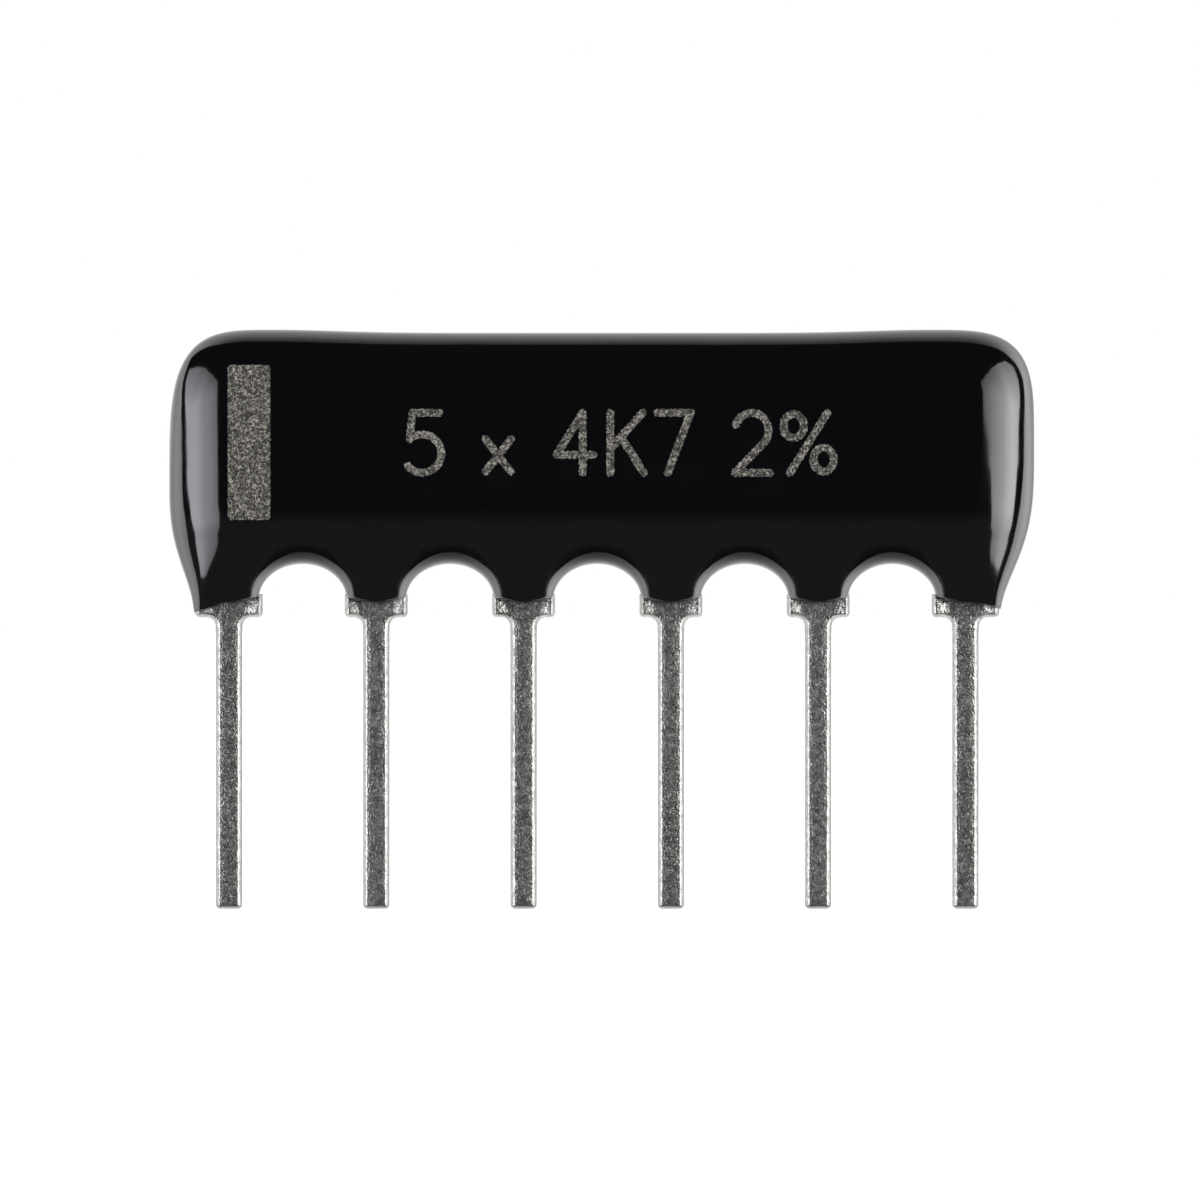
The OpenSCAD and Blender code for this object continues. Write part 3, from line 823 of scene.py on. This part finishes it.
def slab_mesh(name, points, faces):
    """Closes flat faces into a slab: a front, a back marked as sunk, and walls round the rim."""
    count = len(points)
    used = dict.fromkeys(edge for face in faces for edge in zip(face, face[1:] + face[:1]))
    rim = [edge for edge in used if (edge[1], edge[0]) not in used]
    solid = [tuple(face) for face in faces]
    solid += [tuple(k + count for k in reversed(face)) for face in faces]
    solid += [(end, start, start + count, end + count) for start, end in rim]
    places = [(x * MM, 0.0, z * MM) for x, z in points] * 2
    mesh = bpy.data.meshes.new(name)
    mesh.from_pydata(places, [], solid)
    sunk = mesh.attributes.new("sunk", "FLOAT", "POINT")
    sunk.data.foreach_set("value", [0.0] * count + [1.0] * count)
    mesh.polygons.foreach_set("use_smooth", [True] * len(mesh.polygons))
    return mesh


def start_tree(name, sockets):
    """A Geometry Nodes tree with named inputs, given as pairs of name and kind, and one output."""
    tree = bpy.data.node_groups.new(name, "GeometryNodeTree")
    tree.interface.new_socket(name="Geometry", in_out="OUTPUT", socket_type="NodeSocketGeometry")
    for label, kind in sockets:
        tree.interface.new_socket(name=label, in_out="INPUT", socket_type=kind)
    return tree, add_node(tree, "NodeGroupInput").outputs


def end_tree(tree, last, given):
    """Ends a tree: instances made real, the material set, and the output."""
    real = add_node(tree, "GeometryNodeRealizeInstances", {0: last})
    painted = add_node(tree, "GeometryNodeSetMaterial", {"Geometry": real, "Material": given["Material"]})
    add_node(tree, "NodeGroupOutput", {0: painted})


def run_tree(target, tree, values):
    """Runs a tree on an object with its inputs set, and keeps the result as the object's plain mesh."""
    modifier = target.modifiers.new(tree.name, "NODES")
    modifier.node_group = tree
    for item in tree.interface.items_tree:
        if item.in_out == "INPUT" and item.name in values:
            modifier[item.identifier] = values[item.name]
    bpy.context.view_layer.update()
    graph = bpy.context.evaluated_depsgraph_get()
    mesh = bpy.data.meshes.new_from_object(target.evaluated_get(graph))
    target.modifiers.remove(modifier)
    mesh.name = target.name
    target.data = mesh


def pin_row_tree():
    """Sets one pin on every place of the row: the wide one at both ends, the other between them."""
    tree, given = start_tree("pin_row", [
        ("Inner Pin", "NodeSocketObject"),
        ("End Pin", "NodeSocketObject"),
        ("Count", "NodeSocketInt"),
        ("First X", "NodeSocketFloat"),
        ("Pitch", "NodeSocketFloat"),
        ("Material", "NodeSocketMaterial"),
    ])
    start = add_node(tree, "ShaderNodeCombineXYZ", {"X": given["First X"]})
    step = add_node(tree, "ShaderNodeCombineXYZ", {"X": given["Pitch"]})
    line = add_node(tree, "GeometryNodeMeshLine", {
        "Count": given["Count"], "Start Location": start, "Offset": step}, mode="OFFSET")
    index = add_node(tree, "GeometryNodeInputIndex")
    highest = add_node(tree, "ShaderNodeMath", {0: given["Count"], 1: 1.0}, operation="SUBTRACT")
    middle = add_node(tree, "ShaderNodeMath", {0: highest, 1: 2.0}, operation="DIVIDE")
    off_middle = add_node(tree, "ShaderNodeMath", {0: index, 1: middle}, operation="SUBTRACT")
    distance = add_node(tree, "ShaderNodeMath", {0: off_middle}, operation="ABSOLUTE")
    limit = add_node(tree, "ShaderNodeMath", {0: middle, 1: 0.5}, operation="SUBTRACT")
    at_end = add_node(tree, "FunctionNodeCompare", {
        "A": distance, "B": limit}, data_type="FLOAT", operation="GREATER_THAN")
    between = add_node(tree, "FunctionNodeBooleanMath", {0: at_end}, operation="NOT")
    joined = add_node(tree, "GeometryNodeJoinGeometry")
    for socket, chosen in (("Inner Pin", between), ("End Pin", at_end)):
        shape = add_node(tree, "GeometryNodeObjectInfo", {"Object": given[socket], "As Instance": True})
        row = add_node(tree, "GeometryNodeInstanceOnPoints", {
            "Points": line, "Selection": chosen, "Instance": shape.outputs["Geometry"]})
        set_inputs(tree, joined, {0: row})
    end_tree(tree, joined, given)
    return tree


def mark_wrap_tree():
    """Lays a flat plate on the coat's front: its face just proud of the skin, its back just under it."""
    tree, given = start_tree("mark_wrap", [
        ("Geometry", "NodeSocketGeometry"),
        ("Coat", "NodeSocketObject"),
        ("Proud", "NodeSocketFloat"),
        ("Sunk", "NodeSocketFloat"),
        ("Reach", "NodeSocketFloat"),
        ("Material", "NodeSocketMaterial"),
    ])
    skin = add_node(tree, "GeometryNodeObjectInfo", {"Object": given["Coat"]})
    place = add_node(tree, "GeometryNodeInputPosition")
    in_front = add_node(tree, "ShaderNodeMath", {0: given["Reach"], 1: -1.0}, operation="MULTIPLY")
    offset = add_node(tree, "ShaderNodeCombineXYZ", {"Y": in_front})
    source = add_node(tree, "ShaderNodeVectorMath", {0: place, 1: offset}, operation="ADD")
    hit = add_node(tree, "GeometryNodeRaycast", {
        "Target Geometry": skin.outputs["Geometry"], "Source Position": source,
        "Ray Direction": (0.0, 1.0, 0.0), "Ray Length": given["Reach"]})
    back = add_node(tree, "GeometryNodeInputNamedAttribute", {"Name": "sunk"}, data_type="FLOAT")
    span = add_node(tree, "ShaderNodeMath", {0: given["Proud"], 1: given["Sunk"]}, operation="ADD")
    depth = add_node(tree, "ShaderNodeMath", {0: back, 1: span}, operation="MULTIPLY")
    lift = add_node(tree, "ShaderNodeMath", {0: depth, 1: given["Proud"]}, operation="SUBTRACT")
    shift = add_node(tree, "ShaderNodeCombineXYZ", {"Y": lift})
    goal = add_node(tree, "ShaderNodeVectorMath", {
        0: hit.outputs["Hit Position"], 1: shift}, operation="ADD")
    laid = add_node(tree, "GeometryNodeSetPosition", {"Geometry": given["Geometry"], "Position": goal})
    end_tree(tree, laid, given)
    return tree


def show(name, mesh):
    """Puts a mesh in the scene as an object of that name."""
    made = bpy.data.objects.new(name, mesh)
    bpy.context.scene.collection.objects.link(made)
    return made


def keep_piece(piece, nodes=()):
    """Parents a finished piece to the part's body and hides the CAD nodes that it stands for."""
    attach(piece, BODY)
    if nodes:
        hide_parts(*nodes)


class CoatSettings(bpy.types.PropertyGroup):
    """Sizes and finish of the dipped coat."""

    half_thickness: bpy.props.FloatProperty(
        name="Half thickness", description="From the plate's middle to the coat's front",
        default=COAT_HIGH.y, unit="LENGTH", precision=5)
    crest: bpy.props.FloatProperty(
        name="Crest", description="Highest point over the seating plane",
        default=COAT_HIGH.z, unit="LENGTH", precision=5)
    first_reach: bpy.props.FloatProperty(
        name="First end", description="Reach past the middle at the first pin",
        default=-COAT_LOW.x, unit="LENGTH", precision=5)
    last_reach: bpy.props.FloatProperty(
        name="Last end", description="Reach past the middle at the last pin",
        default=COAT_HIGH.x, unit="LENGTH", precision=5)
    top_round: bpy.props.FloatProperty(
        name="Top rounding", description="Height over which the top edge rounds off",
        default=1.0 * MM, unit="LENGTH", precision=5)
    end_round: bpy.props.FloatProperty(
        name="End rounding", description="Length over which an end rounds off",
        default=1.1 * MM, unit="LENGTH", precision=5)
    arch_round: bpy.props.FloatProperty(
        name="Arch rounding", description="Distance over which an arch's edge rounds off",
        default=0.75 * MM, unit="LENGTH", precision=5)
    lip_round: bpy.props.FloatProperty(
        name="Lip rounding", description="Height over which a leg's lower edge rounds off",
        default=0.06 * MM, unit="LENGTH", precision=5)
    ripple: bpy.props.FloatProperty(
        name="Ripple", description="Depth of the waves that the dip leaves",
        default=0.006 * MM, unit="LENGTH", precision=6)
    bulge: bpy.props.FloatProperty(
        name="Bulge", description="How far the face falls back 2 mm above and below its fullest height",
        default=0.03 * MM, unit="LENGTH", precision=6)
    roughness: bpy.props.FloatProperty(
        name="Roughness", description="Roughness of the cured skin",
        default=0.07, min=0.0, max=1.0, subtype="FACTOR")
    colour: bpy.props.FloatVectorProperty(
        name="Colour", description="Colour of the epoxy",
        default=linear("#090a0c"), min=0.0, max=1.0, subtype="COLOR")


class PinSettings(bpy.types.PropertyGroup):
    """Sizes and finish of the tinned pins."""

    pitch: bpy.props.FloatProperty(
        name="Pitch", description="From one pin to the next",
        default=SECOND_X - FIRST_X, unit="LENGTH", precision=5)
    inner_shoulder: bpy.props.FloatProperty(
        name="Inner shoulder", description="Width of the shoulders between the ends",
        default=SECOND_HIGH.x - SECOND_LOW.x, unit="LENGTH", precision=5)
    end_shoulder: bpy.props.FloatProperty(
        name="End shoulder", description="Width of the first and last shoulder",
        default=FIRST_HIGH.x - FIRST_LOW.x, unit="LENGTH", precision=5)
    tip: bpy.props.FloatProperty(
        name="Tip", description="Height of the pin tips",
        default=FIRST_LOW.z, unit="LENGTH", precision=5)
    edge_round: bpy.props.FloatProperty(
        name="Edge rounding", description="Radius of the face's edges",
        default=0.015 * MM, unit="LENGTH", precision=5)
    chamfer: bpy.props.FloatProperty(
        name="Chamfer", description="Depth of the chamfer between the side walls and the face",
        default=0.055 * MM, unit="LENGTH", precision=5)
    chamfer_lean: bpy.props.FloatProperty(
        name="Chamfer lean", description="Lean of that chamfer from the side walls' way through the sheet",
        default=math.radians(24), subtype="ANGLE")
    draft: bpy.props.FloatProperty(
        name="Draft",
        description="Lean of the stamped side walls, which makes the back wider than the face",
        default=math.radians(12.5), subtype="ANGLE")
    crown: bpy.props.FloatProperty(
        name="Crown", description="Lean of the crowned face where it meets its edge",
        default=math.radians(9), subtype="ANGLE")
    fold: bpy.props.FloatProperty(
        name="Fold", description="Lean of the shoulder's corners, bent forward towards the outer tines",
        default=math.radians(17), subtype="ANGLE")
    roll: bpy.props.FloatProperty(
        name="Roll", description="Lean of the blade's side towards the last pin",
        default=math.radians(2.5), subtype="ANGLE")
    roughness: bpy.props.FloatProperty(
        name="Roughness", description="Mean roughness of the tin plate",
        default=0.3, min=0.0, max=1.0, subtype="FACTOR")


class MarkSettings(bpy.types.PropertyGroup):
    """Sizes of the laser marks on the front."""

    value: bpy.props.StringProperty(
        name="Value", description="Plain rating of the five resistors", default="5 x 4K7 2%")
    letter_height: bpy.props.FloatProperty(
        name="Letter height", description="Height of the value's letters",
        default=1.03 * MM, unit="LENGTH", precision=5)
    stroke: bpy.props.FloatProperty(
        name="Stroke", description="Width of the letters' strokes",
        default=0.132 * MM, unit="LENGTH", precision=5)
    row_x: bpy.props.FloatProperty(
        name="Row middle", description="Place of the value along the part",
        default=0.4 * MM, unit="LENGTH", precision=5)
    row_z: bpy.props.FloatProperty(
        name="Row height", description="Height of the value's middle",
        default=3.0 * MM, unit="LENGTH", precision=5)
    bar_x: bpy.props.FloatProperty(
        name="Bar place", description="Middle of the bar that marks the first pin",
        default=-5.986 * MM, unit="LENGTH", precision=5)
    bar_z: bpy.props.FloatProperty(
        name="Bar height", description="Height of the bar's middle",
        default=3.006 * MM, unit="LENGTH", precision=5)
    bar_width: bpy.props.FloatProperty(
        name="Bar width", description="Width of the bar", default=0.73 * MM, unit="LENGTH", precision=5)
    bar_length: bpy.props.FloatProperty(
        name="Bar length", description="Length of the bar", default=2.667 * MM, unit="LENGTH", precision=5)
    bar_corner: bpy.props.FloatProperty(
        name="Bar corner", description="Radius of the bar's corners",
        default=0.06 * MM, unit="LENGTH", precision=5)
    grain: bpy.props.FloatProperty(
        name="Grain", description="Size of the grains that the beam leaves",
        default=0.045 * MM, unit="LENGTH", precision=5)
    proud: bpy.props.FloatProperty(
        name="Proud", description="Height of the foamed skin over the coat",
        default=0.004 * MM, unit="LENGTH", precision=6)
    sunk: bpy.props.FloatProperty(
        name="Sunk", description="Depth of a mark's back under the coat's skin",
        default=0.02 * MM, unit="LENGTH", precision=6)


class StageSettings(bpy.types.PropertyGroup):
    """Camera, light and floor."""

    aim_x: bpy.props.FloatProperty(
        name="Aim along", description="Point along the row that the camera looks at",
        default=0.048 * MM, unit="LENGTH", precision=6)
    aim_z: bpy.props.FloatProperty(
        name="Aim height", description="Height that the camera looks at",
        default=0.298 * MM, unit="LENGTH", precision=6)
    field: bpy.props.FloatProperty(
        name="Field", description="Width that the camera sees at the part",
        default=20.69 * MM, unit="LENGTH", precision=5)
    card_glow: bpy.props.FloatProperty(
        name="Card glow", description="Brightness of the side cards in the gloss", default=1.0, min=0.0)
    lamp_power: bpy.props.FloatProperty(
        name="Lamp power", description="Power of each side lamp", default=0.6, min=0.0, unit="POWER")
    fill: bpy.props.FloatProperty(
        name="Fill", description="Strength of the even light all round", default=0.5, min=0.0)
    floor_colour: bpy.props.FloatVectorProperty(
        name="Floor", description="Colour of the floor", default=linear("#e6e6e6"),
        min=0.0, max=1.0, subtype="COLOR")


class NETWORK_OT_coat(bpy.types.Operator):
    """Builds the smooth dipped coat in place of the faceted one."""

    bl_idname = "network.coat"
    bl_label = "Dipped coat"

    def execute(self, context):
        settings = context.scene.network_coat
        piece = show("epoxy_coat", coat_mesh(settings))
        piece.data.materials.append(dipped_epoxy(settings))
        keep_piece(piece, ["coat"])
        return {"FINISHED"}


class NETWORK_OT_pins(bpy.types.Operator):
    """Builds the row of tinned pins with chamfered edges and bent tines."""

    bl_idname = "network.pins"
    bl_label = "Tinned pins"

    def execute(self, context):
        settings = context.scene.network_pins
        inner = show("inner_pin", pin_mesh("inner_pin", settings.inner_shoulder, settings))
        end = show("end_pin", pin_mesh("end_pin", settings.end_shoulder, settings))
        row = show("tinned_pins", bpy.data.meshes.new("tinned_pins"))
        run_tree(row, pin_row_tree(), {
            "Inner Pin": inner,
            "End Pin": end,
            "Count": len(PIN_NAMES),
            "First X": FIRST_X,
            "Pitch": settings.pitch,
            "Material": tinned_bronze(settings),
        })
        for pattern in (inner, end):
            bpy.data.objects.remove(pattern)
        if not row.data.polygons:
            raise RuntimeError("the pin row came out empty")
        keep_piece(row, PIN_NAMES)
        return {"FINISHED"}


class NETWORK_OT_marks(bpy.types.Operator):
    """Lays the first-pin bar and the plain value mark on the coat's front."""

    bl_idname = "network.marks"
    bl_label = "Laser marks"

    def execute(self, context):
        settings = context.scene.network_marks
        coat = bpy.data.objects.get("epoxy_coat")
        if coat is None:
            raise RuntimeError("the marks need the coat that they lie on")
        height = settings.letter_height / MM
        stroke = settings.stroke / MM
        segments, length = value_segments(settings.value, height)
        half_bar = settings.bar_width / 2 / MM
        half_length = settings.bar_length / 2 / MM
        corner = settings.bar_corner / MM
        plates = [
            mark_plate(
                "first_pin_bar", lambda x, z: bar_depth(x, z, half_bar, half_length, corner),
                half_bar + stroke, half_length + stroke, (settings.bar_x / MM, settings.bar_z / MM)),
            mark_plate(
                "value_mark", lambda x, z: stroke_depth(x, z, segments, stroke),
                length / 2 + stroke, height / 2 + stroke, (settings.row_x / MM, settings.row_z / MM)),
        ]
        tree = mark_wrap_tree()
        material = lasered_epoxy(settings)
        for plate in plates:
            piece = show(plate.name, plate)
            run_tree(piece, tree, {
                "Coat": coat,
                "Proud": settings.proud,
                "Sunk": settings.sunk,
                "Reach": MARK_REACH * MM,
                "Material": material,
            })
            keep_piece(piece)
        return {"FINISHED"}


class NETWORK_OT_circuit(bpy.types.Operator):
    """Gives the circuit inside the coat its fired and soldered finishes."""

    bl_idname = "network.circuit"
    bl_label = "Inner circuit"

    def execute(self, context):
        # Pressed and fired alumina: chalk white with a faint sandy grain
        alumina = fired_finish("fired_alumina", [(0.35, "#dedad1"), (0.6, "#f0ede6")], 0.08, 0.6)
        # Screen-printed silver-palladium: pale grey metal that keeps the mesh's grain
        silver = fired_finish(
            "silver_palladium_print", [(0.3, "#a8a6a0"), (0.7, "#cfccc4")], 0.05, 0.45, 1.0)
        # Screen-printed ruthenium oxide: matte black with grey specks
        film = fired_finish("ruthenium_oxide_print", [(0.45, "#1d1d1f"), (0.75, "#4a4a4c")], 0.06, 0.65)
        # Fired glass print: glossy dark green with a soft orange-peel
        glaze = fired_finish("fired_green_glass", [(0.3, "#1f4a33"), (0.7, "#35684b")], 0.3, 0.12)
        # Reflowed solder: bright grey with crystal grain
        solder = fired_finish(
            "reflowed_solder", [(0.3, "#adadb0"), (0.7, "#dadadc")], 0.09, 0.28, 1.0, 4e-6)
        finishes = {
            "ceramic_plate": alumina,
            "bus_track": silver,
            "solder_pad": silver,
            "resistor": film,
            "glass_overcoat": glaze,
            "solder_joint": solder,
        }
        for name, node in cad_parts.items():
            family = name if name in finishes else name.rstrip("0123456789").rstrip("_")
            if family in finishes:
                node.data.materials.clear()
                node.data.materials.append(finishes[family])
            elif not node.hide_render:
                raise RuntimeError(f"no finish is given for {name}")
        return {"FINISHED"}


class NETWORK_OT_stage(bpy.types.Operator):
    """Sets the floor, the dark tent with its two light cards, the lamps and the camera."""

    bl_idname = "network.stage"
    bl_label = "Stage"

    def execute(self, context):
        settings = context.scene.network_stage
        scene = context.scene
        scene.view_settings.view_transform = "Standard"
        make_world(scene, settings)
        make_floor(settings)
        make_tent()
        for card in CARDS:
            make_card(card, settings.card_glow)
        for name, turn in LAMPS:
            make_lamp(name, turn, settings.lamp_power)
        make_camera(scene, settings)
        return {"FINISHED"}


def direction(turn):
    """Level direction from the part, turned by degrees from the camera's side towards the last pin."""
    angle = math.radians(turn)
    return Vector((math.sin(angle), -math.cos(angle), 0.0))


def make_world(scene, settings):
    """White where it is seen, in gloss or through glass, and an even soft fill elsewhere."""
    world = bpy.data.worlds.new("studio_white")
    tree = empty_tree(world)
    path = add_node(tree, "ShaderNodeLightPath")
    direct = add_node(tree, "ShaderNodeMath", {
        0: path.outputs["Is Camera Ray"], 1: path.outputs["Is Glossy Ray"]}, operation="MAXIMUM")
    seen = add_node(tree, "ShaderNodeMath", {
        0: direct, 1: path.outputs["Is Transmission Ray"]}, operation="MAXIMUM")
    strength = add_node(tree, "ShaderNodeMapRange", {"Value": seen, "To Min": settings.fill, "To Max": 1.0})
    glow = add_node(tree, "ShaderNodeBackground", {"Color": (1.0, 1.0, 1.0, 1.0), "Strength": strength})
    add_node(tree, "ShaderNodeOutputWorld", {"Surface": glow})
    scene.world = world


def make_floor(settings):
    """Pale matte floor under the pin tips, which reads white to the camera and keeps a soft shadow."""
    level = CAD_BOX[0].z
    corners = [(-1, -1), (1, -1), (1, 1), (-1, 1)]
    mesh = bpy.data.meshes.new("floor")
    mesh.from_pydata([(x * FLOOR_HALF, y * FLOOR_HALF, level) for x, y in corners], [], [(0, 1, 2, 3)])
    floor = show("floor", mesh)
    material = bpy.data.materials.new("white_floor_paper")
    tree = empty_tree(material)
    path = add_node(tree, "ShaderNodeLightPath")
    level_glow = add_node(tree, "ShaderNodeMath", {
        0: path.outputs["Is Camera Ray"], 1: FLOOR_GLOW}, operation="MULTIPLY")
    glow = add_node(tree, "ShaderNodeEmission", {"Strength": level_glow})
    paper = add_node(tree, "ShaderNodeBsdfDiffuse", {"Color": (*settings.floor_colour, 1.0)})
    both = add_node(tree, "ShaderNodeAddShader", {0: glow, 1: paper})
    add_node(tree, "ShaderNodeOutputMaterial", {"Surface": both})
    mesh.materials.append(material)
    floor.visible_glossy = False


def gloss_only(piece):
    """Leaves a studio surface visible in gloss alone, so that it neither shows nor shades."""
    piece.visible_camera = False
    piece.visible_diffuse = False
    piece.visible_transmission = False
    piece.visible_shadow = False


def glow_material(name, tint):
    """A studio surface that shines by its own glow attribute."""
    material = bpy.data.materials.new(name)
    tree = empty_tree(material)
    level = add_node(tree, "ShaderNodeAttribute", attribute_name="glow")
    shine = add_node(tree, "ShaderNodeEmission", {
        "Color": (*linear(tint), 1.0), "Strength": level.outputs["Fac"]})
    add_node(tree, "ShaderNodeOutputMaterial", {"Surface": shine})
    return material


def hang(name, points, faces, glow, tint="#ffffff"):
    """Hangs a glowing studio surface where only gloss sees it."""
    mesh = bpy.data.meshes.new(name)
    mesh.from_pydata(points, [], faces)
    mesh.attributes.new("glow", "FLOAT", "POINT").data.foreach_set("value", glow)
    mesh.materials.append(glow_material(name + "_cloth", tint))
    gloss_only(show(name, mesh))


def front_glow(polar, around):
    """The tent on the camera's side: nearly black, dark grey below the level, black near its lower rim."""
    below = np.degrees(np.arcsin(np.clip(-np.sin(around) * np.sin(np.radians(polar)), -1, 1)))
    grey = smooth_step((below - GREY_START) / GREY_SPAN) * (1 - smooth_step((polar - RIM_START) / RIM_SPAN))
    return TENT_BLACK + TENT_GREY * grey


def side_glow(polar, levels):
    """Glow of one side of the white room, which eases from its first level to its last."""
    first, last, start, span = levels
    return first + (last - first) * smooth_step((polar - start) / span)


def rear_glow(polar, around):
    """The white room behind the tent's rim: brightest at both sides, dimmer above and below."""
    beside = np.where(np.cos(around) < 0, side_glow(polar, ROOM_FIRST), side_glow(polar, ROOM_LAST))
    upright = np.where(np.sin(around) < 0, side_glow(polar, ROOM_BELOW), side_glow(polar, ROOM_ABOVE))
    return beside * np.cos(around) ** 2 + upright * np.sin(around) ** 2


def directions_round():
    """Even directions round the camera's axis, from the last pin's side over the top."""
    return np.linspace(0, 2 * math.pi, TENT_SIDES, endpoint=False)


def make_shell(name, polar, glow):
    """A shell round the part, from rings of polar angles for each direction round the camera's axis."""
    around = np.broadcast_to(directions_round(), polar.shape)
    away = np.sin(np.radians(polar))
    places = [away * np.cos(around), -np.cos(np.radians(polar)), away * np.sin(around)]
    points = np.stack(places, axis=2).reshape(-1, 3) * TENT_RADIUS
    faces = []
    for ring in range(len(polar) - 1):
        low = ring * TENT_SIDES
        for k in range(TENT_SIDES):
            after = (k + 1) % TENT_SIDES
            faces.append((low + k, low + after, low + TENT_SIDES + after, low + TENT_SIDES + k))
    hang(name, points.tolist(), faces, glow(polar, around).ravel())


def make_tent():
    """Dark tent on the camera's side of the part, and the white room behind its rim."""
    rim = np.interp(np.degrees(directions_round()), *zip(*TENT_RIM))
    front = np.linspace(POLE_GAP, 1, TENT_STEPS + 1)[:, None]
    rear = np.linspace(0, 1 - POLE_GAP, REAR_STEPS + 1)[:, None]
    make_shell("dark_tent", rim * front, front_glow)
    make_shell("white_room", rim + (180 - rim) * rear, rear_glow)


def card_shine(card, turn, up):
    """Brightness over a card: by turn, a third as much one rise up, and less by a share at the floor."""
    share, start, span = card["fall"]
    across = np.interp(turn, *zip(*card["glow"]))
    fall = 1 - share * smooth_step((-up - start) / span)
    return across * np.exp(-np.maximum(up, 0) / card["rise"]) * fall


def make_card(card, strength):
    """Hangs a light card beside the part."""
    outline = card["outline"]
    turns, heights = zip(*outline)
    x = np.arange(min(turns) - CARD_CELL, max(turns) + 2 * CARD_CELL, CARD_CELL)
    z = np.arange(min(heights) - CARD_CELL, max(heights) + 2 * CARD_CELL, CARD_CELL)
    places, faces = fill_shape(lambda a, b: card_depth(a, b, outline), x, z)
    turn, up = np.array(places).T
    ahead = np.radians(turn)
    rise = np.radians(up)
    level = np.cos(rise)
    points = np.stack([card["side"] * np.sin(ahead) * level, -np.cos(ahead) * level, np.sin(rise)], axis=1)
    glow = strength * card_shine(card, turn, up)
    hang(card["name"], (points * CARD_DISTANCE).tolist(), faces, glow, card["tint"])


def make_lamp(name, turn, power):
    """Large soft lamp beside the part, which lights it and shades the floor but draws no gloss."""
    data = bpy.data.lights.new(name, "AREA")
    data.shape = "RECTANGLE"
    data.size = LAMP_WIDTH
    data.size_y = LAMP_HEIGHT
    data.energy = power
    lamp = bpy.data.objects.new(name, data)
    bpy.context.scene.collection.objects.link(lamp)
    lamp.location = direction(turn) * CARD_DISTANCE + Vector((0, 0, LAMP_RISE))
    lamp.rotation_euler = (-lamp.location).to_track_quat("-Z", "Y").to_euler()
    lamp.visible_camera = False
    lamp.visible_glossy = False


def make_camera(scene, settings):
    """Long lens, level and square to the marked face."""
    data = bpy.data.cameras.new("camera")
    data.sensor_width = SENSOR_WIDTH
    data.lens = SENSOR_WIDTH * CAMERA_DISTANCE / settings.field
    data.clip_start = CLIP_START
    camera = bpy.data.objects.new("camera", data)
    scene.collection.objects.link(camera)
    camera.location = (settings.aim_x, -CAMERA_DISTANCE, settings.aim_z)
    camera.rotation_euler = (math.pi / 2, 0.0, 0.0)
    scene.camera = camera


class NETWORK_PT_panel(bpy.types.Panel):
    """Lists the steps and their sizes."""

    bl_label = "Resistor Network"
    bl_idname = "NETWORK_PT_panel"
    bl_space_type = "VIEW_3D"
    bl_region_type = "UI"
    bl_category = "Resistor Network"

    def draw(self, context):
        for step, group in STEPS:
            box = self.layout.box()
            box.operator(step.bl_idname)
            settings = getattr(context.scene, group, None)
            if settings is not None:
                for name in settings.__annotations__:
                    box.prop(settings, name)


GROUPS = {
    "network_coat": CoatSettings,
    "network_pins": PinSettings,
    "network_marks": MarkSettings,
    "network_stage": StageSettings,
}
STEPS = [
    (NETWORK_OT_coat, "network_coat"),
    (NETWORK_OT_pins, "network_pins"),
    (NETWORK_OT_marks, "network_marks"),
    (NETWORK_OT_circuit, ""),
    (NETWORK_OT_stage, "network_stage"),
]


def register():
    """Adds the settings, the steps and the panel to Blender."""
    for name, group in GROUPS.items():
        bpy.utils.register_class(group)
        setattr(bpy.types.Scene, name, bpy.props.PointerProperty(type=group))
    for step, _ in STEPS:
        bpy.utils.register_class(step)
    bpy.utils.register_class(NETWORK_PT_panel)


def unregister():
    """Takes the panel, the steps and the settings out again."""
    bpy.utils.unregister_class(NETWORK_PT_panel)
    for step, _ in reversed(STEPS):
        bpy.utils.unregister_class(step)
    for name, group in reversed(GROUPS.items()):
        delattr(bpy.types.Scene, name)
        bpy.utils.unregister_class(group)


def main():
    """Runs every step in order."""
    register()
    bpy.ops.network.coat()
    bpy.ops.network.pins()
    bpy.ops.network.marks()
    bpy.ops.network.circuit()
    bpy.ops.network.stage()


if __name__ == "__main__":
    main()
